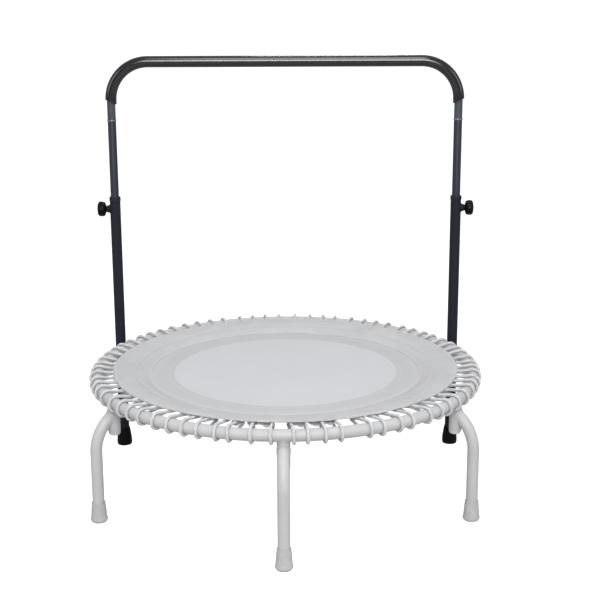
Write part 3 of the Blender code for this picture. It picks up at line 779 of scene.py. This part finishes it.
def wraps_of(index):
    """(azimuth on the ring, azimuth at the mat) of each wrap of one cord."""
    if index in LAID:
        return [(ring + 360.0, inner + 360.0) for ring, inner in LAID[index]]
    middle = 360.0 / CORDS * index
    made = []
    for i in range(WRAPS_PER_CORD):
        even = middle + WRAP_PITCH_DEG * (i - (WRAPS_PER_CORD - 1) / 2)
        drift = 0.9 * noise.noise(Vector((index * 1.7, i * 3.1, 4.2)))
        slack = 0.9 * noise.noise(Vector((index * 2.3, i * 1.9, 9.7)))
        made.append((even + drift, even + slack))
    return made


def all_wraps():
    return [ring for index in range(CORDS) for ring, _ in wraps_of(index)]


def skirt_top(r):
    """Height of the skirt's upper face along its radius."""
    knots = [
        (0.3400, 0.3029), (0.3450, 0.3031), (0.3490, 0.3036), (0.3550, 0.3056), (0.3640, 0.3090), (0.3720, 0.3115), (0.3785, 0.3126), (0.3820, 0.3122),
        (0.3850, 0.3130), (0.3900, 0.3146), (0.4000, 0.3166), (0.4150, 0.3183), (0.4420, 0.3199), (0.4470, 0.3201),
    ]
    for i in range(1, len(knots) - 2):
        if r <= knots[i + 1][0] or i == len(knots) - 3:
            (x0, y0), (x1, y1), (x2, y2), (x3, y3) = knots[i - 1:i + 3]
            t = (r - x1) / (x2 - x1)
            m1, m2 = (y2 - y0) / (x2 - x0) * (x2 - x1), (y3 - y1) / (x3 - x1) * (x2 - x1)
            return (2 * t ** 3 - 3 * t ** 2 + 1) * y1 + (t ** 3 - 2 * t ** 2 + t) * m1 + (3 * t ** 2 - 2 * t ** 3) * y2 + (t ** 3 - t ** 2) * m2
    return knots[-1][1]


WRAPS = np.array(sorted(a % 360.0 for a in all_wraps()))


def ridge(azimuth_rad):
    """1 over a cord, 0 between two."""
    deg = math.degrees(azimuth_rad) % 360.0
    off = np.abs((WRAPS - deg + 180.0) % 360.0 - 180.0).min()
    return math.exp(-(off / 1.15) ** 2)


def skirt_height(r, a):
    lift = max(0.0, min(1.0, (r - 0.372) / 0.045))
    lift = lift * lift * (3 - 2 * lift)
    soft = 0.00018 * noise.noise(Vector((9 * math.cos(a), 9 * math.sin(a), r * 40.0))) * lift
    return skirt_top(r) + lift * 0.0006 * (ridge(a) - 0.75) + soft


def edge_skirt(mat, tape):
    segments = 720
    radii = [0.3450, 0.3462, 0.3490, 0.3525, 0.3560, 0.3620, 0.3680, 0.3740, 0.3775, 0.3795, 0.3808, 0.3820, 0.3832, 0.3848, 0.3875, 0.3920, 0.3980, 0.4040, 0.4100, 0.4160, 0.4220, 0.4280, 0.4340, 0.4385, 0.4406]
    bm = disc_sheet(radii, skirt_height, 0.0014, segments)
    cloth = finish("skirt_cloth", bm, mat, "mat", ["edge_skirt"], 60)
    # binding folded round the outer edge
    loop = []
    for k in range(segments // 2):
        a = 2 * math.pi * k / (segments // 2)
        p = polar(0.4398, math.degrees(a), skirt_height(0.4398, a) - 0.0016)
        loop.append(p)
    section = [(x * 0.0015 * w, y * 0.0021) for x, y, w in (
        (0.0, 1.0, 1.0), (0.7, 0.9, 1.0), (1.0, 0.35, 1.0), (1.0, -0.35, 1.0), (0.7, -0.9, 1.0),
        (0.0, -1.0, 1.0), (-0.7, -0.9, 1.0), (-1.0, -0.35, 1.0), (-1.0, 0.35, 1.0), (-0.7, 0.9, 1.0))]
    flat = [(y, x) for x, y in section]
    binding = finish("skirt_binding", sweep(loop, 1.0, 10, closed=True, section=flat), tape, "mat", smooth_deg=60)
    return cloth, binding


def stitches(name, rows, height, mat, pitch=0.0042, bury=0.0001, size=0.00045):
    """Rows of lockstitch on a circle: each stitch is a short plump strand."""
    bm = bmesh.new()
    for r, _ in rows:
        count = round(2 * math.pi * r / pitch)
        for i in range(count):
            a0 = 2 * math.pi * (i + 0.10) / count
            a1 = 2 * math.pi * (i + 0.90) / count
            line = []
            for t in (0.0, 0.25, 0.5, 0.75, 1.0):
                a = a0 + (a1 - a0) * t
                z = height(r, a) + size * (1.15 * math.sin(math.pi * t)) - bury
                line.append(Vector((r * math.cos(a), r * math.sin(a), z)))
            side = Vector((math.cos((a0 + a1) / 2), math.sin((a0 + a1) / 2), 0))
            rings = []
            for t, p in zip((0.35, 0.9, 1.0, 0.9, 0.35), line):
                rings.append([bm.verts.new(p + size * t * (math.cos(b) * side + math.sin(b) * Vector((0, 0, 1)))) for b in (2 * math.pi * k / 6 for k in range(6))])
            for u, v in zip(rings, rings[1:]):
                for k in range(6):
                    j = (k + 1) % 6
                    bm.faces.new((u[k], v[k], v[j], u[j]))
            bm.faces.new(rings[0])
            bm.faces.new(list(reversed(rings[-1])))
    return finish(name, bm, mat, "mat", smooth_deg=80)


def flat_piece(outline, low, high):
    """A closed plate between two heights. outline goes round it in plan."""
    bm = bmesh.new()
    uv = bm.loops.layers.uv.new("UVMap")
    edge = 0.0003
    centre = sum((Vector(p) for p in outline), Vector((0, 0))) / len(outline)
    inset = [Vector(p) + (centre - Vector(p)).normalized() * edge for p in outline]
    rows = [
        [bm.verts.new((p.x, p.y, low)) for p in inset],
        [bm.verts.new((p[0], p[1], low + edge)) for p in outline],
        [bm.verts.new((p[0], p[1], high - edge)) for p in outline],
        [bm.verts.new((p.x, p.y, high)) for p in inset],
    ]
    n = len(outline)
    for a, b in zip(rows, rows[1:]):
        for k in range(n):
            j = (k + 1) % n
            bm.faces.new((a[k], a[j], b[j], b[k]))
    bm.faces.new(rows[0])
    bm.faces.new(list(reversed(rows[-1])))
    axis = centre.normalized()
    across = Vector((-axis.y, axis.x))
    for face in bm.faces:
        for loop in face.loops:
            p = loop.vert.co.xy
            loop[uv].uv = (p.dot(across), p.dot(axis))
    return bm


def tab_outline(azimuth):
    """A tab in plan: wide where it leaves the band, then tapering to a rounded tip."""
    half = [(0.3860, 2.05), (0.3960, 2.05), (0.4060, 1.95), (0.4120, 1.62), (0.4200, 1.05), (0.4280, 0.55), (0.4308, 0.38), (0.4320, 0.16)]
    right = [polar(r, azimuth + w, 0).xy for r, w in half]
    left = [polar(r, azimuth - w, 0).xy for r, w in reversed(half)]
    return right + left


def band_and_tabs(mat, stitch):
    parts = [disc_sheet([BAND_GAP_R, 0.3862, 0.3916, BAND_R], lambda r, a: MAT_TOP_Z - 0.0003, 0.0024, 216)]
    for bm in parts:
        uv = bm.loops.layers.uv.new("UVMap")
        for face in bm.faces:
            for loop in face.loops:
                p = loop.vert.co
                loop[uv].uv = (math.atan2(p.y, p.x) * 0.39, math.hypot(p.x, p.y))
    sewn = bmesh.new()
    for index in range(CORDS):
        middle = 360.0 / CORDS * index
        for i in range(WRAPS_PER_CORD - 1):
            c = middle + WRAP_PITCH_DEG * (i - 1)
            parts.append(flat_piece(tab_outline(c), MAT_BOTTOM_Z + 0.0004, MAT_TOP_Z - 0.0002))
            # a V of stitches on the tab
            for side in (-1, 1):
                for k in range(8):
                    t0, t1 = (k + 0.12) / 8, (k + 0.88) / 8
                    a = polar(0.3950 + 0.030 * t0, c + side * (1.55 - 1.25 * t0), MAT_TOP_Z)
                    b = polar(0.3950 + 0.030 * t1, c + side * (1.55 - 1.25 * t1), MAT_TOP_Z)
                    m = (a + b) / 2 + Vector((0, 0, 0.0003))
                    strand = sweep([a, a.lerp(m, 0.6), m, b.lerp(m, 0.6), b], [0.0002, 0.00036, 0.0004, 0.00036, 0.0002], 5)
                    mesh = bpy.data.meshes.new("s")
                    strand.to_mesh(mesh)
                    strand.free()
                    sewn.from_mesh(mesh)
                    bpy.data.meshes.remove(mesh)
    finish("band_tabs", join(parts), mat, "mat", ["webbing_band"], 40)
    finish("tab_stitching", sewn, stitch, "mat", smooth_deg=80)


def cord_line(index):
    """The route of one cord: over the ring, round it and back, four times."""
    wraps = wraps_of(index)
    corner = 0.62
    line = [polar(CORD_TURN_R, wraps[0][1] - 1.35, CORD_UPPER_Z), polar(CORD_TURN_R + 0.0010, wraps[0][1] - corner, CORD_UPPER_Z)]
    count = 17
    for i, (ring, mat_end) in enumerate(wraps):
        outwards = i % 2 == 0
        # straight strand on top, leaning from the mat's azimuth to the ring's
        turn = []
        lead = math.radians(14.0)
        for k in range(count):
            t = -lead + (math.pi + 2 * lead) * k / (count - 1)
            shift = 0.18 * (k / (count - 1) - 0.5)
            turn.append(polar(RING_R + CORD_WRAP_R * math.sin(t), ring + shift, RING_Z + CORD_WRAP_R * math.cos(t)))
        upper = [polar(CORD_TURN_R + 0.0040, mat_end, CORD_UPPER_Z + 0.0002), polar(0.4250, mat_end + (ring - mat_end) * 0.45, CORD_UPPER_Z + 0.0030)]
        lower = [polar(0.4250, mat_end + (ring - mat_end) * 0.45, CORD_LOWER_Z - 0.0036), polar(CORD_TURN_R + 0.0040, mat_end, CORD_LOWER_Z - 0.0002)]
        strand = upper + turn + lower
        line += strand if outwards else list(reversed(strand))
        z = CORD_LOWER_Z if outwards else CORD_UPPER_Z
        if i < len(wraps) - 1:
            line.append(polar(CORD_TURN_R + 0.0006, mat_end + corner, z))
            line.append(polar(CORD_TURN_R + 0.0006, wraps[i + 1][1] - corner, z))
        else:
            line.append(polar(CORD_TURN_R + 0.0010, mat_end + corner, z))
            line.append(polar(CORD_TURN_R, mat_end + 1.35, z))
    return line


def stepped(points, step):
    """Extra points on the long straight parts, so that a cord can bend there when the mat goes down."""
    made = [points[0]]
    for a, b in zip(points, points[1:]):
        count = max(1, math.ceil((b - a).length / step))
        made += [a.lerp(b, k / count) for k in range(1, count + 1)]
    return made


def cord(index, mat):
    line = stepped(smooth_path(cord_line(index), 0.0040, 4), 0.0032)
    name = f"bungee_cord_{index + 1:02d}"
    obj = finish(f"cord_{index + 1:02d}", sweep(line, CORD_R, 12), mat, None, [name], 60)
    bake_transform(obj)
    return obj


def cord_fittings(webbing, plastic):
    """Webbing keepers that hold each turn of cord on the band, and a crimped ferrule on each cord end."""
    keepers, ends = [], []
    for index in range(CORDS):
        wraps = wraps_of(index)
        for i in range(WRAPS_PER_CORD - 1):
            lower = i % 2 == 0
            c = (wraps[i][1] + wraps[i + 1][1]) / 2
            s = -1.0 if lower else 1.0
            z0 = MAT_BOTTOM_Z - 0.0002 if lower else MAT_TOP_Z + 0.0002
            zc = CORD_LOWER_Z if lower else CORD_UPPER_Z
            path = [(0.3770, z0), (0.3800, z0 + s * 0.0003)]
            for k in range(9):
                a = math.pi * k / 8
                path.append((CORD_TURN_R + 0.0006 - 0.0047 * math.cos(a), zc + s * 0.0046 * math.sin(a)))
            path += [(0.3972, z0 + s * 0.0003), (0.4010, z0)]
            line = [polar(r, c, z) for r, z in path]
            half, thick = 0.0052, 0.00045
            section = [(-half, -thick), (half, -thick), (half, thick), (-half, thick)]
            keepers.append(sweep(line, 1.0, 4, section=section))
        for ring_az, m, sign in ((wraps[0][0], wraps[0][1], -1), (wraps[-1][0], wraps[-1][1], 1)):
            z = CORD_UPPER_Z
            a, b = polar(CORD_TURN_R + 0.0004, m + sign * 0.95, z), polar(CORD_TURN_R, m + sign * 1.95, z)
            steps = [a.lerp(b, t) for t in (0.0, 0.12, 0.3, 0.45, 0.6, 0.75, 0.92, 1.0)]
            ends.append(sweep(steps, [0.0038, 0.0043, 0.0043, 0.0040, 0.0043, 0.0040, 0.0043, 0.0036], 16))
    finish("cord_keepers", join(keepers), webbing, "mat", smooth_deg=50)
    finish("cord_ferrules", join(ends), plastic, "mat", smooth_deg=50)


def under_hem(mat):
    """The reinforcing tape under the mat's edge."""
    bm = disc_sheet([0.3540, 0.3546, 0.3690, 0.3834, 0.3840], lambda r, a: 0.30005 + mat_height(r, a), 0.0012, 216)
    uv = bm.loops.layers.uv.new("UVMap")
    for face in bm.faces:
        for loop in face.loops:
            p = loop.vert.co
            loop[uv].uv = (math.atan2(p.y, p.x) * 0.369, math.hypot(p.x, p.y))
    return finish("hem_tape", bm, mat, "mat")


# ------------------------------------------------------------------ handlebar
def post(label, azimuth, side, mat):
    foot_at, head = polar(POST_R, azimuth, POST_BOTTOM_Z), polar(POST_R, azimuth, POST_TOP_Z)
    ease = Vector((0, 0, 0.0006))
    line = [foot_at, foot_at + ease, head - ease, head]
    obj = finish(f"post_tube_{label}", sweep(line, [POST_TUBE_R - 0.0004, POST_TUBE_R, POST_TUBE_R, POST_TUBE_R - 0.0004], 48, [POST_BORE_R] * 4), mat)
    low, high = polar(POST_R - 0.006, azimuth, ARM_LOW_Z), polar(STATION_R, azimuth, ARM_HIGH_Z)
    combine(obj, finish("arm", sweep([low, high], ARM_R, 40), mat), "UNION")
    combine(obj, finish("stub", stub_shape(azimuth), mat), "UNION")
    axis = Vector((head.x, head.y, CLAMP_Z))
    boss = turned([
        (BOSS_HOLE_R, 0.0128), (BOSS_ROOT_R, 0.0128), (BOSS_ROOT_R, POST_TUBE_R + 0.0008), (BOSS_ROOT_R - 0.0003, POST_TUBE_R + 0.0014),
        (BOSS_TIP_R + 0.0003, BOSS_REACH - 0.0008), (BOSS_TIP_R - 0.0004, BOSS_REACH), (BOSS_HOLE_R + 0.0004, BOSS_REACH), (BOSS_HOLE_R, BOSS_REACH - 0.0004),
    ], 40, closed_profile=True)
    combine(obj, finish("boss", place(boss, along_x(side, axis)), mat), "UNION")
    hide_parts(f"post_{label}")
    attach(obj, "frame")
    d = high - low
    welds = [
        bead(cylinder_seam(high, -d, ARM_R + 0.0003, head, (0, 0, 1), POST_TUBE_R + 0.0003), 0.0016, 3),
        bead(cylinder_seam(low, d, ARM_R + 0.0003, polar(STATION_R, azimuth, 0), (0, 0, 1), STUB_R + 0.0003), 0.0016, 4),
        bead(stub_seam(azimuth), 0.0018, 5),
        bead(cylinder_seam(axis + Vector((side * 0.05, 0, 0)), (-side, 0, 0), BOSS_ROOT_R + 0.0003, head, (0, 0, 1), POST_TUBE_R + 0.0002), 0.0010, 6),
    ]
    finish(f"post_welds_{label}", join(welds), mat, "frame", smooth_deg=60)


def collar(label, azimuth, mat):
    z = POST_TOP_Z + GAP
    outline = rounded([
        (COLLAR_BORE_R, COLLAR_SLEEVE_Z), (COLLAR_SLEEVE_R, COLLAR_SLEEVE_Z), (COLLAR_SLEEVE_R, z), (COLLAR_R - 0.0003, z), (COLLAR_R, z + 0.0006),
        (COLLAR_R, z + 0.0030), (COLLAR_R - 0.0005, z + 0.0036), (COLLAR_R - 0.0005, z + 0.0044), (COLLAR_R, z + 0.0050),
        (COLLAR_R, COLLAR_TOP_Z - 0.0030), (COLLAR_R - 0.0024, COLLAR_TOP_Z), (COLLAR_BORE_R + 0.0006, COLLAR_TOP_Z), (COLLAR_BORE_R, COLLAR_TOP_Z - 0.0006),
    ], 0.0003, 2)
    bm = place(turned(outline, 64, closed_profile=True), Matrix.Translation(polar(POST_R, azimuth, 0)))
    return finish(f"collar_bush_{label}", bm, mat, "frame", [f"post_collar_{label}"], 35)


def knob(label, azimuth, side, plastic, metal, pad_mat):
    at = along_x(side, polar(POST_R, azimuth, CLAMP_Z))
    outline = rounded([
        (0.0051, 0.0244), (0.0078, 0.0244), (0.0112, 0.0252), (0.0160, 0.0266), (0.0192, 0.0292), (KNOB_R, 0.0330), (KNOB_R, 0.0415),
        (0.0190, 0.0448), (0.0156, 0.0466), (0.0108, 0.0474), (0.0104, 0.0469), (0.0094, 0.0469), (0.0090, KNOB_REACH - 0.0003), (0.0, KNOB_REACH),
    ], 0.0022, 5)

    def fluted(r, z, a):
        if r < 0.012:
            return 1.0
        k = min(1.0, (r - 0.012) / 0.006)
        dip = (0.5 - 0.5 * math.cos(8 * a)) ** 0.75
        return 1.0 - 0.045 * k * dip

    bm = turned([(0.0, 0.0355), (0.0051, 0.0355), *outline], 128, shape=fluted)
    finish(f"knob_grip_{label}", place(bm, at), plastic, f"knob_{label}", [f"clamp_knob_{label}"], 35)

    pitch, depth, segs = 0.00125, 0.00055, 24
    rows, low, high = [], 0.0150, 0.0352
    bm = bmesh.new()
    count = int((high - low) / pitch * 8)
    for i in range(count + 1):
        z = low + (high - low) * i / count
        row = []
        for k in range(segs):
            a = 2 * math.pi * k / segs
            t = (z / pitch - k / segs) % 1.0
            r = 0.0043 - depth * (1 - abs(2 * t - 1)) * min(1.0, i / 6.0)
            if i < 4:
                r = min(r, 0.0036 + 0.0007 * i / 4)
            row.append(bm.verts.new((r * math.cos(a), r * math.sin(a), z)))
        rows.append(row)
    for a, b in zip(rows, rows[1:]):
        for k in range(segs):
            j = (k + 1) % segs
            bm.faces.new((a[k], a[j], b[j], b[k]))
    bm.faces.new(rows[0])
    bm.faces.new(list(reversed(rows[-1])))
    finish(f"screw_thread_{label}", place(bm, at), metal, f"knob_{label}", [f"clamp_screw_{label}"], 25)

    pad = rounded([(0.0, 0.0115), (0.0036, 0.0115), (0.0043, 0.0122), (0.0043, 0.0141), (0.0037, 0.0147), (0.0, 0.0147)], 0.0003, 3)
    finish(f"pad_disc_{label}", place(turned(pad, 40), at), pad_mat, f"pad_{label}", [f"clamp_pad_{label}"], 35)


def slide_tube(label, azimuth, mat):
    low, high = polar(POST_R, azimuth, UPPER_BOTTOM_Z), polar(POST_R, azimuth, UPPER_TOP_Z)
    ease = Vector((0, 0, 0.0005))
    bm = sweep([low, low + ease, high - ease, high], [UPPER_R - 0.0004, UPPER_R, UPPER_R, UPPER_R - 0.0003], 48, [UPPER_BORE_R] * 4)
    return finish(f"slide_tube_{label}", bm, mat, "handle", [f"upper_tube_{label}"], 35)


def joint_band(label, azimuth, mat):
    low, high = UPPER_TOP_Z + GAP, BAR_SHOULDER_Z - GAP
    outline = [(UPPER_BORE_R, low), (JOINT_RING_R - 0.0005, low), (JOINT_RING_R, low + 0.0006), (JOINT_RING_R, high - 0.0006), (JOINT_RING_R - 0.0005, high), (UPPER_BORE_R, high)]
    bm = place(turned(outline, 64, closed_profile=True), Matrix.Translation(polar(POST_R, azimuth, 0)))
    return finish(f"joint_band_{label}", bm, mat, "handle", [f"joint_ring_{label}"], 35)


def bar_path(low_z, steps=26, straight=24):
    left, right = polar(POST_R, POST_AZ["left"], 0), polar(POST_R, POST_AZ["right"], 0)
    path = [Vector((left.x, left.y, low_z))]
    for i in range(steps + 1):
        a = math.pi / 2 * i / steps
        path.append(Vector((left.x + BAR_BEND_R * (1 - math.cos(a)), left.y, BAR_TOP_Z - BAR_BEND_R * (1 - math.sin(a)))))
    a, b = path[-1], Vector((right.x - BAR_BEND_R, right.y, BAR_TOP_Z))
    path += [a.lerp(b, k / straight) for k in range(1, straight)]
    for i in range(steps + 1):
        a = math.pi / 2 * (1 - i / steps)
        path.append(Vector((right.x - BAR_BEND_R * (1 - math.cos(a)), right.y, BAR_TOP_Z - BAR_BEND_R * (1 - math.sin(a)))))
    path.append(Vector((right.x, right.y, low_z)))
    return path


def u_bar(mat):
    path = bar_path(BAR_SHOULDER_Z + 0.0004)
    left, right = path[0], path[-1]
    down = Vector((0, 0, -1))
    low = BAR_SHOULDER_Z - BAR_SPIGOT_Z
    points = [left + down * low, left + down * (low - 0.001), left + down * 0.0005, left + down * 0.0004, *path, right + down * 0.0004, right + down * 0.0005, right + down * (low - 0.001), right + down * low]
    radii = [BAR_SPIGOT_R - 0.0008, BAR_SPIGOT_R, BAR_SPIGOT_R, UPPER_R - 0.0004, *[UPPER_R] * len(path), UPPER_R - 0.0004, BAR_SPIGOT_R, BAR_SPIGOT_R, BAR_SPIGOT_R - 0.0008]
    return finish("u_bar", sweep(points, radii, 48), mat, "handle", ["handle_bar"], 35)


def grip_sleeve(mat):
    """The foam: plump, with soft creases inside the bends and ends cut on a slant."""
    path = bar_path(GRIP_END_Z + 0.004, 40, 60)
    ends = [Vector(path[0]), Vector(path[-1])]
    start = [ends[0] + Vector((0, 0, dz)) for dz in (-0.004, -0.0028, 0.0)]
    stop = [ends[1] + Vector((0, 0, dz)) for dz in (0.0, -0.0028, -0.004)]
    points = start + path[1:-1] + stop
    n = len(points)
    bm = sweep(points, [GRIP_R] * n, 48, [GRIP_BORE_R] * n)
    slope = math.tan(math.radians(27.0))
    for v in bm.verts:
        for end, sign in ((ends[0], 1.0), (ends[1], -1.0)):
            if abs(v.co.x - end.x) < 0.02 and v.co.z < end.z + 0.0001:
                v.co.z -= slope * sign * (v.co.x - end.x)
                if v.co.z < end.z + 0.02 and abs(v.co.z - (end.z - 0.004 - slope * sign * (v.co.x - end.x))) < 1e-5:
                    out = Vector((v.co.x - end.x, v.co.y - end.y, 0))
                    if out.length > GRIP_R - 0.0005:
                        v.co.x -= out.x * 0.075
                        v.co.y -= out.y * 0.075
    for v in bm.verts:
        wobble = noise.noise(v.co * 38.0) * 0.00022
        left, right = ends
        for end, sign in ((left, 1.0), (right, -1.0)):
            centre = Vector((end.x + sign * BAR_BEND_R, end.y, BAR_TOP_Z - BAR_BEND_R))
            rel = v.co - centre
            if rel.x * sign < 0 and rel.z > 0:
                radial = math.hypot(rel.x, rel.z)
                inside = max(0.0, (BAR_BEND_R - radial) / GRIP_R)
                angle = math.degrees(math.atan2(rel.z, -rel.x * sign))
                wobble -= 0.00040 * inside ** 2 * (0.5 - 0.5 * math.cos(math.radians(angle * 36 + 40 * noise.noise(Vector((angle * 0.1, end.x, 0))))))
        v.co += v.normal * wobble if v.normal.length > 0 else Vector((0, 0, 0))
    obj = finish("grip_sleeve", bm, mat, "handle", ["foam_grip"], 45)
    return obj


# ----------------------------------------------------------------- the studio
def camera():
    yaw, pitch, roll = -0.00066, -0.25022, -0.00389
    f = Vector((-math.sin(yaw) * math.cos(pitch), math.cos(yaw) * math.cos(pitch), math.sin(pitch)))
    r = Vector((math.cos(yaw), math.sin(yaw), 0.0))
    u = r.cross(f)
    right = math.cos(roll) * r + math.sin(roll) * u
    up = -math.sin(roll) * r + math.cos(roll) * u
    data = bpy.data.cameras.new("camera")
    data.sensor_width = 36.0
    data.lens = 1252.6 / 600.0 * 36.0
    data.clip_end = 300.0
    obj = bpy.data.objects.new("camera", data)
    m = Matrix.Identity(4)
    for i in range(3):
        m[i][0], m[i][1], m[i][2] = right[i], up[i], -f[i]
    m.translation = Vector((0.0362, -3.0996, 1.2803))
    obj.matrix_world = m
    bpy.context.scene.collection.objects.link(obj)
    bpy.context.scene.camera = obj


def area(name, location, target, size, radiance, colour=(1.0, 1.0, 1.0)):
    data = bpy.data.lights.new(name, "AREA")
    data.shape = "RECTANGLE"
    data.size, data.size_y = size
    data.energy = radiance * math.pi * size[0] * size[1]
    data.color = colour
    obj = bpy.data.objects.new(name, data)
    obj.location = location
    obj.rotation_euler = (Vector(target) - Vector(location)).to_track_quat("-Z", "Y").to_euler()
    obj.visible_camera = False
    bpy.context.scene.collection.objects.link(obj)
    return obj


def studio():
    scene = bpy.context.scene
    scene.view_settings.view_transform = "Standard"
    scene.view_settings.look = "None"
    world = bpy.data.worlds.new("studio")
    scene.world = world
    world.use_nodes = True
    tree = world.node_tree
    back = tree.nodes["Background"]
    place_ = tree.nodes.new("ShaderNodeTexCoord")
    split = tree.nodes.new("ShaderNodeSeparateXYZ")
    tree.links.new(place_.outputs["Generated"], split.inputs[0])
    tone = tree.nodes.new("ShaderNodeMapRange")
    tone.inputs["From Min"].default_value = -0.2
    tone.inputs["From Max"].default_value = 1.0
    tone.inputs["To Min"].default_value = 0.44
    tone.inputs["To Max"].default_value = 0.64
    tree.links.new(split.outputs[2], tone.inputs["Value"])
    path = tree.nodes.new("ShaderNodeLightPath")
    seen = tree.nodes.new("ShaderNodeMix")
    seen.data_type = "FLOAT"
    tree.links.new(path.outputs["Is Camera Ray"], seen.inputs[0])
    tree.links.new(tone.outputs["Result"], seen.inputs[2])
    seen.inputs[3].default_value = 1.0
    tree.links.new(seen.outputs[0], back.inputs["Strength"])
    back.inputs["Color"].default_value = (1.0, 1.0, 1.0, 1.0)

    size = 60.0
    bm = bmesh.new()
    corners = [bm.verts.new((x * size, y * size, -0.0006)) for x, y in ((-1, -1), (1, -1), (1, 1), (-1, 1))]
    bm.faces.new(corners)
    s = Shade("studio_floor", (0.32, 0.32, 0.32), 0.9)
    s.bsdf.inputs["Specular IOR Level"].default_value = 0.0
    s.bsdf.inputs["Emission Color"].default_value = (1.0, 1.0, 1.0, 1.0)
    lit = s.node("ShaderNodeLightPath")
    s.link(s.ramp(lit.outputs["Is Camera Ray"], 0.0, 1.0, 0.28, 0.94, False), s.bsdf.inputs["Emission Strength"])
    mesh = bpy.data.meshes.new("studio_floor")
    bm.to_mesh(mesh)
    bm.free()
    mesh.materials.append(s.mat)
    floor = bpy.data.objects.new("studio_floor", mesh)
    scene.collection.objects.link(floor)

    area("softbox_top", (0.20, -1.45, 3.50), (0.0, 0.0, 0.8), (1.6, 2.4), 4.6)
    area("softbox_front", (0.20, -5.0, 2.90), (0.0, 0.2, 1.0), (3.0, 1.6), 16.0)
    area("softbox_left", (-3.2, -1.2, 2.0), (0.0, 0.0, 0.4), (1.4, 1.8), 2.5)
    area("softbox_right", (3.2, -1.2, 2.0), (0.0, 0.0, 0.4), (1.4, 1.8), 2.5)
    area("softbox_back", (0.16, 2.16, 2.70), (-0.05, 0.36, 0.31), (0.65, 0.32), 18.0)


# ----------------------------------------------------------------------- main
def main():
    steel = powder_coat("frame_coat", (0.362, 0.364, 0.369), 0.44, 0.0, Specular_IOR_Level=0.32)
    rubber_pale = moulded_rubber("frame_rubber", (0.352, 0.354, 0.361), 0.60, Specular_IOR_Level=0.30)
    bolt = powder_coat("bolt_coat", (0.420, 0.422, 0.428), 0.34, 0.0, Specular_IOR_Level=0.40)
    woven = mat_cloth()
    skirt = skirt_cloth()
    tape = webbing_cloth("skirt_tape", (0.420, 0.423, 0.432))
    webbing = webbing_cloth("webbing", (0.780, 0.783, 0.792))
    bungee = braided_sheath()
    stitch = thread("stitch_thread", (0.540, 0.545, 0.556))
    ferrule = moulded_plastic("ferrule_plastic", (0.50, 0.50, 0.51), 0.45)
    post_coat = powder_coat("post_coat", (0.0115, 0.0125, 0.0185), 0.42, 0.0, Specular_IOR_Level=0.10)
    rubber_black = moulded_rubber("post_rubber", (0.0032, 0.0032, 0.0036), 0.50, Specular_IOR_Level=0.08)
    plastic = moulded_plastic("black_plastic", (0.0025, 0.0025, 0.0033), 0.36, Specular_IOR_Level=0.08)
    bush = moulded_plastic("collar_plastic", (0.0120, 0.0132, 0.0200), 0.42, Specular_IOR_Level=0.10)
    zinc = plated("zinc_steel", (0.62, 0.62, 0.64), 0.30)
    band = plated("joint_steel", (0.26, 0.27, 0.30), 0.26)
    brass = plated("pad_brass", (0.72, 0.55, 0.28), 0.34)
    slate = gloss_tube("tube_slate", (0.0180, 0.0198, 0.0285), 0.46)
    slate_bar = gloss_tube("bar_slate", (0.045, 0.047, 0.059), 0.42)
    foam = foam_skin()

    ring_tube(steel)
    for label, azimuth in LEG_AZ.items():
        leg(label, azimuth, steel)
        foot(f"foot_cap_{label}", LEG_R, azimuth, FOOT_BASE_R, FOOT_TOP_R, rubber_pale, f"leg_foot_{label}", False)
        dome(f"leg_dome_{label}", azimuth, bolt, f"leg_bolt_{label}")

    sheet = jump_mat(woven)
    tape_under = under_hem(webbing)
    cloth, binding = edge_skirt(skirt, tape)
    seam_lines = stitches("seam_stitching", [(0.3472, 0), (0.3500, 0)], skirt_height, stitch)
    mat_lines = stitches("mat_stitching", [(PRINT_R + 0.0135, 0)], lambda r, a: MAT_TOP_Z - 0.0004 + mat_height(r, a), stitch, 0.0045, 0.00015, 0.0004)
    edge_lines = stitches("edge_stitching", [(0.4362, 0)], skirt_height, stitch, 0.0045)
    band_and_tabs(webbing, stitch)
    for index in range(CORDS):
        cord(index, bungee)
    cord_fittings(webbing, ferrule)

    for label, azimuth in POST_AZ.items():
        side = -1 if label == "left" else 1
        post(label, azimuth, side, post_coat)
        foot(f"post_cap_{label}", POST_R, azimuth, POST_FOOT_BASE_R, POST_FOOT_TOP_R, rubber_black, f"post_foot_{label}", True)
        dome(f"post_dome_{label}", azimuth, bolt, f"post_bolt_{label}")
        collar(label, azimuth, bush)
        knob(label, azimuth, side, plastic, zinc, brass)
        slide_tube(label, azimuth, slate)
        joint_band(label, azimuth, band)
    u_bar(slate_bar)
    grip_sleeve(foam)

    camera()
    studio()


main()
